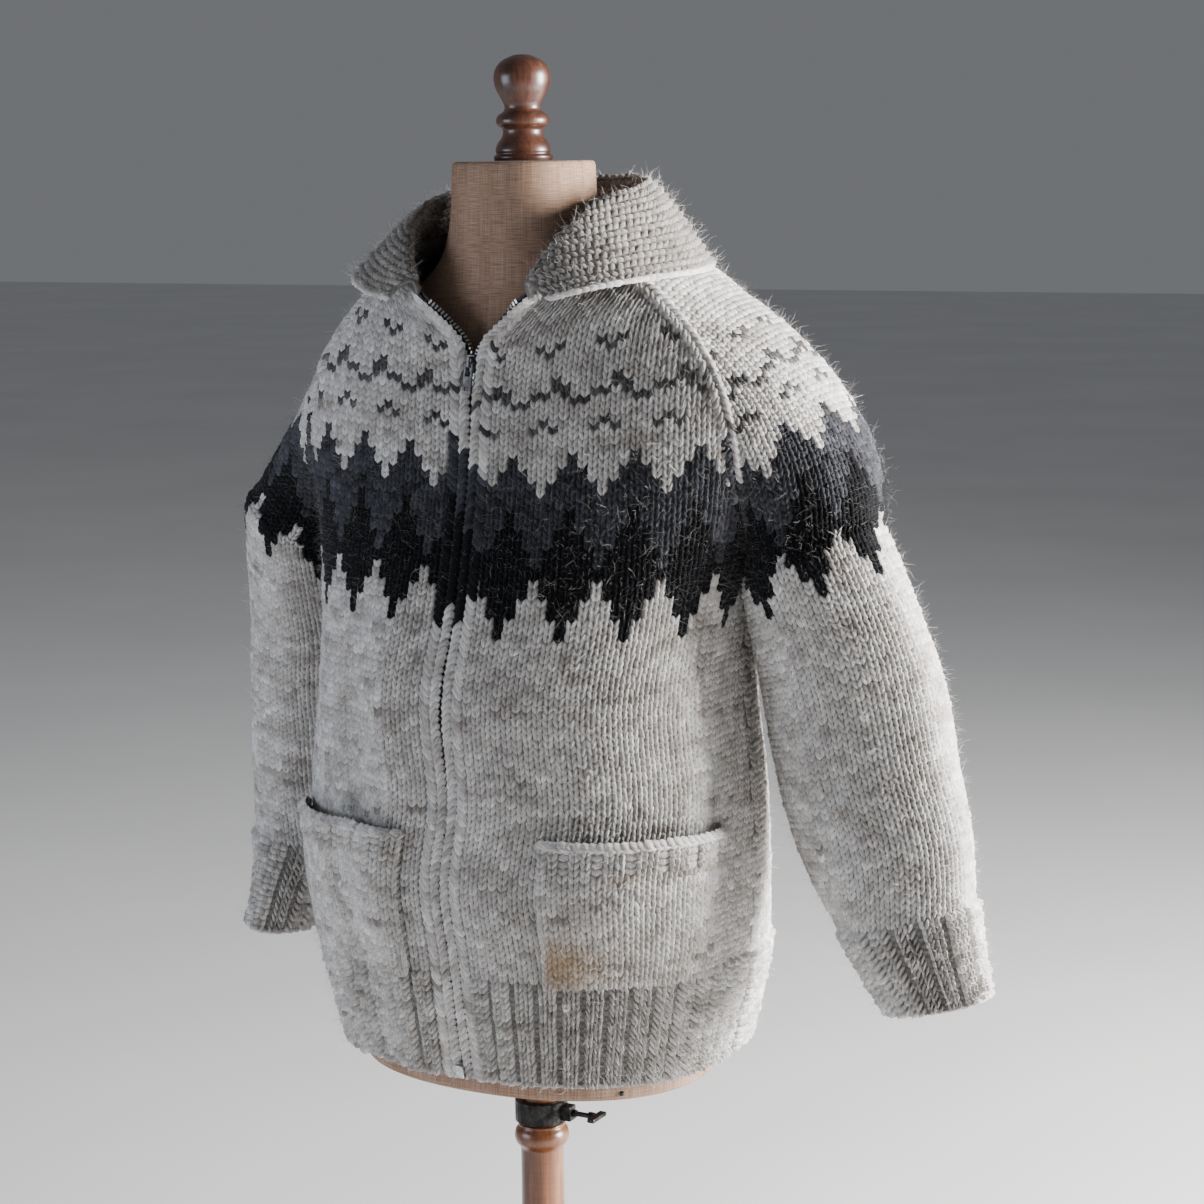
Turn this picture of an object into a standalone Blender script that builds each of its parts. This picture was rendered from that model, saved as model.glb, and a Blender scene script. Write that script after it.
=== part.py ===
"""Cowichan sweater worn on a limbless dress form, with its turned stand.

Metres, +Z up.  The origin is on the floor under the post.  The front of the
garment faces -Y and the wearer's left is +X.

The sweater is one welded mid-surface cut into the pieces a knitter would make.
Each piece is that surface's faces given the wall's thickness along normals that
the neighbouring pieces share, with half a seam gap taken off along its edges.
"""
import math

import bmesh
import bpy
from mathutils import Matrix, Vector

# ---------------------------------------------------------------- driving sizes
WALL = 0.0045            # knitted wall of bulky single-ply wool
COLLAR_WALL = 0.0050     # garter stitch is thicker
TAPE_WALL = 0.0022       # zip tape with its row of teeth
GAP = 0.0003             # between pieces that meet
MITRE_LIMIT = 1.5        # most that a wall's offset grows at a corner
CROTCH_EASE = 20         # how fast the seam gap widens where two walls fold back on each other

HEM_Z = 0.410            # lower edge of the hem ribbing
RIB_TOP_Z = 0.499        # top of the hem ribbing, where the pockets sit
POCKET_TOP_Z = 0.615
UNDERARM_Z = 0.800
SIDE_ANGLE = math.radians(93)    # the side seam, turned from the centre front
SECTION_POWER = 2.4      # squareness of the torso sections

# Torso of the garment: a row per height.
TORSO = (
    # z,    half_width, front, back, widest_y
    (0.410, 0.166, 0.125, 0.170, 0.012),
    (0.450, 0.175, 0.134, 0.172, 0.014),
    (0.490, 0.184, 0.142, 0.172, 0.015),
    (0.560, 0.190, 0.150, 0.168, 0.014),
    (0.640, 0.187, 0.146, 0.158, 0.012),
    (0.720, 0.178, 0.143, 0.149, 0.012),
    (0.800, 0.179, 0.126, 0.148, 0.014),
    (0.860, 0.205, 0.113, 0.151, 0.020),
    (0.920, 0.226, 0.100, 0.150, 0.026),
    (0.980, 0.222, 0.089, 0.138, 0.026),
    (1.040, 0.192, 0.083, 0.112, 0.020),
    (1.090, 0.150, 0.080, 0.088, 0.004),
)

# Line of the zip, which waves a little, and half the gap between the fronts.
ZIP_LINE = (
    # z,    x_centre, half_gap
    (0.410, 0.000, 0.0022),
    (0.450, 0.001, 0.0020),
    (0.520, 0.001, 0.0018),
    (0.575, -0.0035, 0.0018),
    (0.640, 0.0035, 0.0018),
    (0.720, -0.0026, 0.0030),
    (0.790, 0.0030, 0.0020),
    (0.880, 0.0045, 0.0018),
    (0.955, 0.0010, 0.0030),
    (0.985, 0.0000, 0.0058),
    (1.000, 0.0000, 0.0100),
    (1.018, 0.0000, 0.0290),
    (1.036, 0.0000, 0.0500),
)
NECK_POINT_Z = 1.036     # where the collar starts on each front

# Raglan seams and the ridge of the shoulder: a row per step up from underarm to neck.
RAGLAN = (
    # step, front_x, front_y, front_z, back_x, back_y, back_z
    (0.00, 0.184, 0.035, 0.800, 0.184, 0.035, 0.800),
    (0.17, 0.200, -0.008, 0.845, 0.206, 0.088, 0.850),
    (0.33, 0.206, -0.036, 0.890, 0.208, 0.116, 0.900),
    (0.50, 0.203, -0.044, 0.935, 0.194, 0.123, 0.950),
    (0.67, 0.186, -0.043, 0.982, 0.167, 0.118, 0.998),
    (0.83, 0.150, -0.038, 1.026, 0.129, 0.099, 1.042),
    (1.00, 0.098, -0.040, 1.066, 0.090, 0.070, 1.076),
)
SHOULDER = (
    # step, ridge_x, ridge_y, ridge_z, depth_radius, half_turn
    (0.00, 0.2970, 0.042, 0.862, 0.062, 180),
    (0.17, 0.2880, 0.046, 0.895, 0.067, 130),
    (0.33, 0.2650, 0.050, 0.933, 0.078, 104),
    (0.50, 0.2320, 0.051, 0.974, 0.083, 92),
    (0.67, 0.1920, 0.048, 1.011, 0.080, 82),
    (0.83, 0.1440, 0.036, 1.044, 0.070, 76),
    (1.00, 0.1020, 0.018, 1.080, 0.057, 72),
)

# The wearer's right side hangs a little slacker than the left.
RIGHT_SHOULDER_IN = 0.026
RIGHT_RAGLAN_IN = 0.020

# Sleeves below the underarm: a row per station, the cuff's edge last.
SLEEVE_LEFT = (
    # step, x, y, z, across, depth, tilt
    (0.00, 0.2405, 0.040, 0.831, 0.0645, 0.062, 28.5),
    (0.13, 0.2620, 0.044, 0.760, 0.0715, 0.060, 20.0),
    (0.27, 0.2750, 0.045, 0.705, 0.0755, 0.060, 17.0),
    (0.42, 0.2890, 0.044, 0.645, 0.0750, 0.060, 15.0),
    (0.56, 0.3050, 0.041, 0.595, 0.0710, 0.058, 15.0),
    (0.70, 0.3230, 0.036, 0.542, 0.0570, 0.050, 16.0),
    (0.85, 0.3360, 0.031, 0.508, 0.0470, 0.040, 16.0),
    (1.00, 0.3510, 0.026, 0.4755, 0.0400, 0.028, 14.0),
)
SLEEVE_RIGHT = (
    # step, x, y, z, across, depth, tilt
    (0.00, 0.2405, 0.040, 0.831, 0.0645, 0.062, 28.5),
    (0.13, 0.2500, 0.050, 0.765, 0.0640, 0.060, 18.0),
    (0.27, 0.2520, 0.058, 0.715, 0.0620, 0.058, 12.0),
    (0.42, 0.2540, 0.060, 0.655, 0.0575, 0.056, 8.0),
    (0.56, 0.2570, 0.056, 0.600, 0.0540, 0.055, 6.0),
    (0.70, 0.2560, 0.040, 0.548, 0.0460, 0.050, 5.0),
    (0.85, 0.2610, 0.022, 0.510, 0.0330, 0.046, 5.0),
    (1.00, 0.2680, 0.010, 0.475, 0.0250, 0.042, 8.0),
)

# Collar: fold line and outer edge, a row per step round from the front to the back.
COLLAR_LEFT = (
    # step, fold_x, fold_y, fold_z, edge_x, edge_y, edge_z
    (0.00, 0.053, -0.092, 1.050, 0.073, -0.096, 1.036),
    (0.15, 0.067, -0.072, 1.078, 0.104, -0.086, 1.044),
    (0.32, 0.080, -0.034, 1.105, 0.134, -0.054, 1.050),
    (0.55, 0.092, 0.028, 1.121, 0.148, 0.024, 1.054),
    (0.78, 0.066, 0.080, 1.127, 0.104, 0.118, 1.056),
    (1.00, 0.000, 0.098, 1.126, 0.000, 0.150, 1.050),
)
COLLAR_RIGHT = (
    # step, fold_x, fold_y, fold_z, edge_x, edge_y, edge_z
    (0.00, 0.053, -0.092, 1.050, 0.073, -0.096, 1.036),
    (0.15, 0.067, -0.074, 1.072, 0.101, -0.086, 1.041),
    (0.32, 0.083, -0.038, 1.098, 0.127, -0.060, 1.051),
    (0.55, 0.088, 0.024, 1.115, 0.139, 0.022, 1.060),
    (0.78, 0.064, 0.078, 1.123, 0.102, 0.118, 1.060),
    (1.00, 0.000, 0.098, 1.126, 0.000, 0.150, 1.050),
)

# Largest folds, as soft troughs (depth below zero) and ridges on a piece's own grid.
FOLDS = {
    "front_left": (
        # across, up, across_end, up_end, width, depth
        (0.86, 0.22, 0.90, 0.52, 0.07, -0.006),
        (0.70, 0.20, 0.78, 0.45, 0.09, 0.004),
        (0.20, 0.10, 0.12, 0.45, 0.09, 0.003),
    ),
    "front_right": (
        (0.16, 0.05, 0.20, 0.55, 0.08, 0.007),
        (0.32, 0.05, 0.36, 0.48, 0.07, -0.006),
        (0.72, 0.25, 0.80, 0.50, 0.08, 0.004),
    ),
    "back": (
        (0.12, 0.20, 0.16, 0.50, 0.05, -0.006),
        (0.88, 0.22, 0.84, 0.52, 0.05, -0.006),
        (0.36, 0.02, 0.40, 0.40, 0.05, 0.006),
        (0.60, 0.02, 0.58, 0.36, 0.05, 0.005),
    ),
    "sleeve_left": (
        (0.40, 0.62, 0.66, 0.50, 0.10, -0.006),
        (0.36, 0.42, 0.62, 0.30, 0.10, -0.006),
        (0.58, 0.20, 0.80, 0.26, 0.09, -0.005),
    ),
    "sleeve_right": (
        (0.34, 0.52, 0.66, 0.44, 0.09, -0.007),
        (0.40, 0.40, 0.52, 0.14, 0.09, 0.005),
        (0.30, 0.24, 0.40, 0.08, 0.09, -0.005),
    ),
}

# Grid of each piece.
POCKET_STEP = (POCKET_TOP_Z - RIB_TOP_Z) / 4
BODY_HEIGHTS = (HEM_Z, 0.455, RIB_TOP_Z, RIB_TOP_Z + POCKET_STEP, RIB_TOP_Z + 2 * POCKET_STEP,
                RIB_TOP_Z + 3 * POCKET_STEP, POCKET_TOP_Z, 0.652, 0.689, 0.726, 0.763, UNDERARM_Z)
YOKE_ROWS = 8
ARM_ROWS = 13
SLEEVE_COLUMNS = 14
BACK_COLUMNS = 18
COLLAR_ROWS = 7
FRONT_COLUMNS = {
    "front_left": (0.0, 0.10, 0.20, 0.30, 0.405, 0.51, 0.615, 0.72, 0.82, 0.91, 1.0),
    "front_right": (0.0, 0.065, 0.13, 0.23, 0.335, 0.44, 0.545, 0.65, 0.77, 0.885, 1.0),
}
POCKET_COLUMNS = {"front_left": (3, 8), "front_right": (2, 7)}
POCKET_ROWS = (2, 6)
POCKET_GAPE = 0.0130     # how far the mouth stands off the front

# Dress form: a row per height.
FORM = (
    # z,    half_width, front, back
    (0.392, 0.154, 0.114, 0.150),
    (0.440, 0.157, 0.117, 0.151),
    (0.500, 0.161, 0.121, 0.149),
    (0.560, 0.163, 0.123, 0.144),
    (0.640, 0.159, 0.120, 0.136),
    (0.720, 0.154, 0.115, 0.130),
    (0.800, 0.156, 0.105, 0.130),
    (0.860, 0.163, 0.095, 0.130),
    (0.920, 0.166, 0.084, 0.126),
    (0.962, 0.162, 0.074, 0.118),
    (0.995, 0.148, 0.067, 0.106),
    (1.020, 0.124, 0.062, 0.090),
    (1.042, 0.094, 0.059, 0.075),
    (1.064, 0.071, 0.0575, 0.064),
    (1.095, 0.0600, 0.0570, 0.058),
    (1.1425, 0.0565, 0.0565, 0.0565),
)
FORM_POWER = 2.2
FORM_SIDES = 40
FORM_RINGS = 26
BORE_RADIUS = 0.0185

# Stand.
SPIGOT_RADIUS = 0.0172
SPIGOT_TOP_Z = 0.500
BORE_TOP_Z = SPIGOT_TOP_Z + GAP    # the form rests and turns on the spigot's end
RING_BOTTOM_Z = 0.3330
RING_HEIGHT = 0.0200
RING_OUTER = 0.0226
RING_INNER = 0.0176
BASE_RADIUS = 0.170
BASE_HEIGHT = 0.034
SCREW_Z = RING_BOTTOM_Z + RING_HEIGHT / 2
BOSS_OUT = 0.0310        # outer face of the ring's lug, from the axis
TURNED_SIDES = 32

POST_PROFILE = (
    # z, radius
    (0.0345, 0.0320),
    (0.0460, 0.0335),
    (0.0540, 0.0300),
    (0.0600, 0.0235),
    (0.0680, 0.0225),
    (0.0740, 0.0265),
    (0.0800, 0.0225),
    (0.0900, 0.0195),
    (0.2000, 0.0190),
    (0.3080, 0.0182),
    (0.3115, 0.0196),
    (0.3150, 0.0222),
    (0.3200, 0.0233),
    (0.3250, 0.0224),
    (0.3290, 0.0200),
    (0.3310, 0.0196),
    (0.3327, 0.0172),
    (SPIGOT_TOP_Z, SPIGOT_RADIUS),
)
BASE_PROFILE = (
    (0.0000, BASE_RADIUS - 0.004),
    (0.0040, BASE_RADIUS),
    (0.0150, BASE_RADIUS),
    (0.0190, BASE_RADIUS - 0.006),
    (0.0240, BASE_RADIUS - 0.018),
    (0.0300, BASE_RADIUS - 0.040),
    (BASE_HEIGHT, BASE_RADIUS - 0.066),
)
FINIAL_PROFILE = (
    (1.1428, 0.0235),
    (1.1465, 0.0240),
    (1.1480, 0.0220),
    (1.1510, 0.0226),
    (1.1560, 0.0212),
    (1.1620, 0.0172),
    (1.1680, 0.0166),
    (1.1710, 0.0205),
    (1.1750, 0.0218),
    (1.1790, 0.0200),
    (1.1820, 0.0158),
    (1.1860, 0.0146),
    (1.1930, 0.0178),
    (1.2010, 0.0218),
    (1.2090, 0.0231),
    (1.2165, 0.0213),
    (1.2225, 0.0160),
    (1.2260, 0.0085),
)

# Zip.
TEETH_REACH = 0.0050     # how far the teeth stand out of a front's edge in the open neck
TAPE_UNDER = 0.0115      # how far the tape runs under the front
TAPE_GAP = 0.0014        # room for the front's edge to roll
SLIDER_Z = 0.985
SLIDER_WIDTH = 0.0090
SLIDER_LENGTH = 0.0150
SLIDER_DEPTH = 0.0042
CROWN_WIDTH = 0.0030
CROWN_RISE = 0.0042
PULL_LENGTH = 0.0250
PULL_WIDTH = 0.0086
PULL_THICK = 0.0016
PULL_LIFT = math.radians(5)      # it lies on the cloth, a little off the slider's slope
BOX_WIDTH = 0.0076
BOX_LENGTH = 0.0110


# ---------------------------------------------------------------- tables
def read(table, at, column):
    """Smooth curve through one column of a table, at a place in its first column."""
    keys = [row[0] for row in table]
    at = min(max(at, keys[0]), keys[-1])
    low = 0
    while low < len(keys) - 2 and at > keys[low + 1]:
        low += 1
    before = table[max(low - 1, 0)]
    start = table[low]
    end = table[low + 1]
    after = table[min(low + 2, len(table) - 1)]
    span = end[0] - start[0]
    share = (at - start[0]) / span
    slope_start = (end[column] - before[column]) / max(end[0] - before[0], 1e-9)
    slope_end = (after[column] - start[column]) / max(after[0] - start[0], 1e-9)
    square = share * share
    cube = square * share
    return (start[column] * (2 * cube - 3 * square + 1)
            + end[column] * (3 * square - 2 * cube)
            + slope_start * span * (cube - 2 * square + share)
            + slope_end * span * (cube - square))


def read_point(table, at, column):
    return Vector([read(table, at, column + axis) for axis in range(3)])


def section_radius(angle, half_width, front, back, power):
    """Distance from the axis to a squared oval, turned from the front (-Y)."""
    depth = front if math.cos(angle) > 0 else back
    across = abs(math.sin(angle)) / half_width
    along = abs(math.cos(angle)) / depth
    return (across ** power + along ** power) ** (-1 / power)


def section_point(table, z, angle, power, middle=0.0):
    """A point of a table's section, turned from the front about its widest line."""
    radius = section_radius(angle, read(table, z, 1), read(table, z, 2) + middle,
                            read(table, z, 3) - middle, power)
    return Vector((radius * math.sin(angle), middle - radius * math.cos(angle), z))


def torso_point(z, angle):
    return section_point(TORSO, z, angle, SECTION_POWER, read(TORSO, z, 4))


def turn_of(point):
    """Angle of a point round the torso's middle, from the front (-Y) towards +X."""
    return math.atan2(abs(point.x), read(TORSO, point.z, 4) - point.y)


# ---------------------------------------------------------------- garment surface
def fold_height(name, across, up):
    """Soft troughs and ridges of a piece: each is a smooth bump along a short line."""
    total = 0.0
    for start_a, start_u, end_a, end_u, width, depth in FOLDS.get(name, ()):
        along = Vector((end_a - start_a, end_u - start_u))
        offset = Vector((across - start_a, up - start_u))
        share = offset.dot(along) / along.length_squared
        nearest = min(max(share, 0.0), 1.0)
        miss = (offset - along * nearest).length / width
        total += depth * math.exp(-miss * miss)
    return total


def edge_fade(across):
    """Folds die out at a piece's two seams."""
    return max(0.0, math.sin(math.pi * across)) ** 0.5 if 0 < across < 1 else 0.0


def slack(step):
    """How far the wearer's right shoulder has settled: nothing at the underarm and the neck."""
    return max(0.0, math.sin(math.pi * step)) ** 0.6


def raglan_front(step, side):
    point = read_point(RAGLAN, step, 1)
    if side < 0:
        point.x -= RIGHT_RAGLAN_IN * slack(step)
    return Vector((side * point.x, point.y, point.z))


def raglan_back(step, side):
    point = read_point(RAGLAN, step, 4)
    return Vector((side * point.x, point.y, point.z))


def front_edge(z, side):
    """Edge of a front beside the zip, and beyond the zip's top along the neck."""
    x = read(ZIP_LINE, z, 1) + side * read(ZIP_LINE, z, 2)
    return Vector((x, -read(TORSO, z, 2), z))


def side_seam(z, side):
    point = torso_point(z, SIDE_ANGLE)
    return Vector((side * point.x, point.y, z))


def underarm_blend(z):
    """0 at the hem to 1 at the underarm: how far the side seam leans to the underarm point."""
    share = (z - HEM_Z) / (UNDERARM_Z - HEM_Z)
    return share ** 3


def seam_low(z, side):
    lean = raglan_front(0, side) - side_seam(UNDERARM_Z, side)
    return side_seam(z, side) + lean * underarm_blend(z)


def row_between(start, end, across, side):
    """A row of a body piece, on the torso's sections and exactly through its two ends."""
    first = turn_of(start) if start.x * side > 0 else -turn_of(start)
    last = turn_of(end)

    def on_torso(share):
        z = start.z + (end.z - start.z) * share
        point = torso_point(z, first + (last - first) * share)
        return Vector((side * point.x, point.y, z))

    point = on_torso(across)
    return point + (start - on_torso(0)) * (1 - across) + (end - on_torso(1)) * across


def body_levels():
    """Rows of the body pieces: (height below the underarm or None, yoke step or None)."""
    low = [(z, None) for z in BODY_HEIGHTS]
    high = [(None, row / YOKE_ROWS) for row in range(1, YOKE_ROWS + 1)]
    return low + high


def front_surface(name, side, across, level):
    z, step = level
    if step is None:
        start = front_edge(z, side)
        end = seam_low(z, side)
        up = 0.6 * (z - HEM_Z) / (UNDERARM_Z - HEM_Z)
    else:
        start = front_edge(UNDERARM_Z + (NECK_POINT_Z - UNDERARM_Z) * step, side)
        end = raglan_front(step, side)
        up = 0.6 + 0.4 * step
    point = row_between(start, end, across, side)
    out = Vector((point.x, point.y * 1.4, 0)).normalized()
    return point + out * fold_height(name, across, up) * edge_fade(across)


def back_surface(across, level):
    """Across runs from the wearer's right side to the left."""
    z, step = level
    side = -1 if across < 0.5 else 1
    if step is None:
        end = seam_low(z, side)
        middle = Vector((0, read(TORSO, z, 3), z))
        up = 0.6 * (z - HEM_Z) / (UNDERARM_Z - HEM_Z)
    else:
        end = raglan_back(step, side)
        z_middle = UNDERARM_Z + (1.080 - UNDERARM_Z) * step
        middle = Vector((0, read(TORSO, z_middle, 3), z_middle))
        up = 0.6 + 0.4 * step
    share = abs(across - 0.5) * 2
    first = math.pi
    last = turn_of(end)

    def on_torso(part):
        z_part = middle.z + (end.z - middle.z) * part * part
        point = torso_point(z_part, first + (last - first) * part)
        return Vector((side * point.x, point.y, z_part))

    point = on_torso(share) + (middle - on_torso(0)) * (1 - share) + (end - on_torso(1)) * share
    out = Vector((point.x, point.y * 1.4, 0)).normalized()
    return point + out * fold_height("back", across, up) * edge_fade(across)


def cap_surface(name, side, across, step):
    """Sleeve above the underarm.  Across runs from the front raglan seam to the back one."""
    front = raglan_front(step, side)
    back = raglan_back(step, side)
    ridge = read_point(SHOULDER, step, 1)
    if side < 0:
        ridge.x -= RIGHT_SHOULDER_IN * slack(step)
    ridge.x *= side
    depth = read(SHOULDER, step, 4)
    half_turn = math.radians(read(SHOULDER, step, 5))
    middle = (front + back) / 2
    turn = half_turn * (1 - 2 * across)
    rise = (ridge - middle) / (1 - math.cos(half_turn))

    def on_oval(angle):
        level = middle + rise * (math.cos(angle) - math.cos(half_turn))
        return level + Vector((0, -depth * math.sin(angle), 0))

    point = on_oval(turn)
    point += (front - on_oval(half_turn)) * (1 - across) + (back - on_oval(-half_turn)) * across
    out = (point - middle).normalized()
    return point + out * fold_height(name, across, 0.6 + 0.4 * step) * edge_fade(across)


def arm_surface(name, side, across, step):
    """Sleeve below the underarm.  Across 0 and 1 are both the seam, on the inner side."""
    table = SLEEVE_LEFT if side > 0 else SLEEVE_RIGHT
    centre = read_point(table, step, 1)
    radius_across = read(table, step, 4)
    radius_depth = read(table, step, 5)
    tilt = math.radians(read(table, step, 6))
    turn = math.pi * (1 - 2 * across)
    out = math.cos(turn) * radius_across
    point = Vector((centre.x + out * math.cos(tilt),
                    centre.y - radius_depth * math.sin(turn),
                    centre.z + out * math.sin(tilt)))
    push = fold_height(name, across, 0.6 * (1 - step)) * edge_fade(across)
    outward = Vector((math.cos(turn) * math.cos(tilt), -math.sin(turn), math.cos(turn) * math.sin(tilt)))
    point += outward * push
    return Vector((side * point.x, point.y, point.z))


def sleeve_surface(name, side, across, row):
    """Rows count down from the neck: the cap first, then the arm to the cuff's edge."""
    if row < YOKE_ROWS:
        return cap_surface(name, side, across, 1 - row / YOKE_ROWS)
    start = raglan_front(0, side)
    step = (row - YOKE_ROWS) / ARM_ROWS
    point = arm_surface(name, side, across, step)
    lean = start - arm_surface(name, side, 0, 0)
    return point + lean * max(0.0, 1 - step * 4)


# ---------------------------------------------------------------- welded surface
class Surface:
    """The welded mid-surface: shared points, and the faces of each piece."""

    def __init__(self):
        self.points = []
        self.lookup = {}
        self.faces = {}
        self.normals = []
        self.easing = []

    def add_point(self, position):
        key = tuple(round(value * 1e6) for value in position)
        if key not in self.lookup:
            self.lookup[key] = len(self.points)
            self.points.append(position.copy())
        return self.lookup[key]

    def add_grid(self, name, grid, flip):
        """Grid is a list of rows of points.  Flip turns its faces to the outer side."""
        indices = [[self.add_point(point) for point in row] for row in grid]
        faces = self.faces.setdefault(name, [])
        for row in range(len(indices) - 1):
            for column in range(len(indices[row]) - 1):
                corners = [indices[row][column], indices[row][column + 1],
                           indices[row + 1][column + 1], indices[row + 1][column]]
                corners = list(dict.fromkeys(corners))
                if len(corners) < 3:
                    continue
                faces.append(corners[::-1] if flip else corners)
        return indices

    def find_normals(self):
        """Shared normals, longer where pieces meet at an angle so that walls keep their width."""
        sums = [Vector((0, 0, 0)) for _ in self.points]
        counts = [0] * len(self.points)
        for faces in self.faces.values():
            for face in faces:
                corners = [self.points[index] for index in face]
                area = Vector((0, 0, 0))
                for index in range(1, len(corners) - 1):
                    area += (corners[index] - corners[0]).cross(corners[index + 1] - corners[0])
                for index in face:
                    sums[index] += area.normalized()
                    counts[index] += 1
        for total, count in zip(sums, counts):
            agreement = total.length / max(count, 1)
            self.normals.append(total.normalized() / max(agreement, 1 / MITRE_LIMIT))
            self.easing.append(1 + CROTCH_EASE * max(0.0, 0.75 - agreement))


def rim_edges(faces):
    """Directed edges of a patch that only one of its faces uses."""
    used = {}
    for face in faces:
        for start, end in zip(face, face[1:] + face[:1]):
            used[(start, end)] = True
    return [edge for edge in used if (edge[1], edge[0]) not in used]


def thicken(name, surface, faces, wall, material, shift=None, gap=GAP / 2):
    """A closed wall on a patch of the surface, drawn back from its neighbours by the gap."""
    shift = shift or {}
    rims = rim_edges(faces)
    rim_next = {start: end for start, end in rims}
    rim_last = {end: start for start, end in rims}
    centres = {}
    for face in faces:
        centre = sum((surface.points[index] for index in face), Vector((0, 0, 0))) / len(face)
        for index in face:
            centres.setdefault(index, []).append(centre)
    mesh = bmesh.new()
    outer = {}
    inner = {}
    for index in sorted(centres):
        point = surface.points[index] + shift.get(index, Vector((0, 0, 0)))
        normal = surface.normals[index]
        if index in rim_next:
            along = surface.points[rim_next[index]] - surface.points[rim_last[index]]
            along.normalize()
            inward = sum(centres[index], Vector((0, 0, 0))) / len(centres[index])
            inward -= surface.points[index]
            inward -= along * inward.dot(along)
            inward -= normal * inward.dot(normal)
            point = point + inward.normalized() * gap * surface.easing[index]
        outer[index] = mesh.verts.new(point + normal * wall / 2)
        inner[index] = mesh.verts.new(point - normal * wall / 2)
    for face in faces:
        for low in range(1, len(face) - 1):
            corners = (face[0], face[low], face[low + 1])
            mesh.faces.new([outer[index] for index in corners])
            mesh.faces.new([inner[index] for index in reversed(corners)])
    for start, end in rims:
        if start < end:
            mesh.faces.new((outer[end], outer[start], inner[start]))
            mesh.faces.new((outer[end], inner[start], inner[end]))
        else:
            mesh.faces.new((outer[end], outer[start], inner[end]))
            mesh.faces.new((outer[start], inner[start], inner[end]))
    return finish_mesh(name, mesh, material)


# ---------------------------------------------------------------- scene helpers
def clear_scene():
    for item in list(bpy.data.objects):
        bpy.data.objects.remove(item, do_unlink=True)


def make_material(name, colour, roughness, metallic=0.0):
    material = bpy.data.materials.new(name)
    material.use_nodes = True
    shader = material.node_tree.nodes["Principled BSDF"]
    shader.inputs["Base Color"].default_value = (*colour, 1.0)
    shader.inputs["Roughness"].default_value = roughness
    shader.inputs["Metallic"].default_value = metallic
    return material


def finish_mesh(name, mesh, material, smooth_angle=40):
    bmesh.ops.recalc_face_normals(mesh, faces=mesh.faces)
    data = bpy.data.meshes.new(name)
    mesh.to_mesh(data)
    mesh.free()
    data.shade_smooth()
    data.set_sharp_from_angle(angle=math.radians(smooth_angle))
    item = bpy.data.objects.new(name, data)
    item.data.materials.append(material)
    bpy.context.scene.collection.objects.link(item)
    return item


def place(item, parent):
    """Parent an object and keep it where it is in the world."""
    item.parent = parent
    item.matrix_parent_inverse = parent.matrix_world.inverted()


def turned(name, profile, material, sides=TURNED_SIDES, closed=False):
    """A solid turned about Z from (z, radius) rows; a closed profile makes a ring."""
    mesh = bmesh.new()
    rings = []
    for z, radius in profile:
        ring = []
        for number in range(sides):
            angle = 2 * math.pi * number / sides
            ring.append(mesh.verts.new((radius * math.cos(angle), radius * math.sin(angle), z)))
        rings.append(ring)
    pairs = list(zip(rings, rings[1:]))
    if closed:
        pairs.append((rings[-1], rings[0]))
    for low, high in pairs:
        for number in range(sides):
            other = (number + 1) % sides
            mesh.faces.new((low[number], low[other], high[other], high[number]))
    if not closed:
        mesh.faces.new(rings[0][::-1])
        mesh.faces.new(rings[-1])
    return finish_mesh(name, mesh, material)


def block(name, size, material, bevel=0.0, segments=2):
    """A box round the origin, with its edges rounded."""
    mesh = bmesh.new()
    bmesh.ops.create_cube(mesh, size=1.0)
    bmesh.ops.scale(mesh, vec=size, verts=mesh.verts)
    if bevel:
        bmesh.ops.bevel(mesh, geom=mesh.edges[:], offset=bevel, segments=segments,
                        affect="EDGES", profile=0.5)
    return finish_mesh(name, mesh, material)


def cut(item, cutter, operation="DIFFERENCE"):
    modifier = item.modifiers.new("cut", "BOOLEAN")
    modifier.operation = operation
    modifier.object = cutter
    cutter.hide_render = True
    cutter.display_type = "WIRE"


# ---------------------------------------------------------------- garment pieces
def build_surface():
    surface = Surface()
    levels = body_levels()
    grids = {}
    for name, side in (("front_left", 1), ("front_right", -1)):
        rows = [[front_surface(name, side, across, level) for across in FRONT_COLUMNS[name]]
                for level in levels]
        grids[name] = surface.add_grid(name, rows, flip=side < 0)
    columns = [column / BACK_COLUMNS for column in range(BACK_COLUMNS + 1)]
    rows = [[back_surface(across, level) for across in columns] for level in levels]
    grids["back"] = surface.add_grid("back", rows, flip=True)
    columns = [column / SLEEVE_COLUMNS for column in range(SLEEVE_COLUMNS + 1)]
    for name, side in (("sleeve_left", 1), ("sleeve_right", -1)):
        rows = [[sleeve_surface(name, side, across, row) for across in columns]
                for row in range(YOKE_ROWS + ARM_ROWS + 1)]
        grids[name] = surface.add_grid(name, rows, flip=side > 0)
    grids["collar"] = surface.add_grid("collar", collar_rows(surface, grids), flip=True)
    surface.find_normals()
    return surface, grids


def neckline(surface, grids):
    """Points of the neck seam, from the right front round the back to the left front."""
    indices = list(grids["front_right"][-1])
    indices += grids["sleeve_right"][0][1:]
    indices += grids["back"][-1][1:]
    indices += list(reversed(grids["sleeve_left"][0]))[1:]
    indices += list(reversed(grids["front_left"][-1]))[1:]
    return [surface.points[index] for index in indices]


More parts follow.
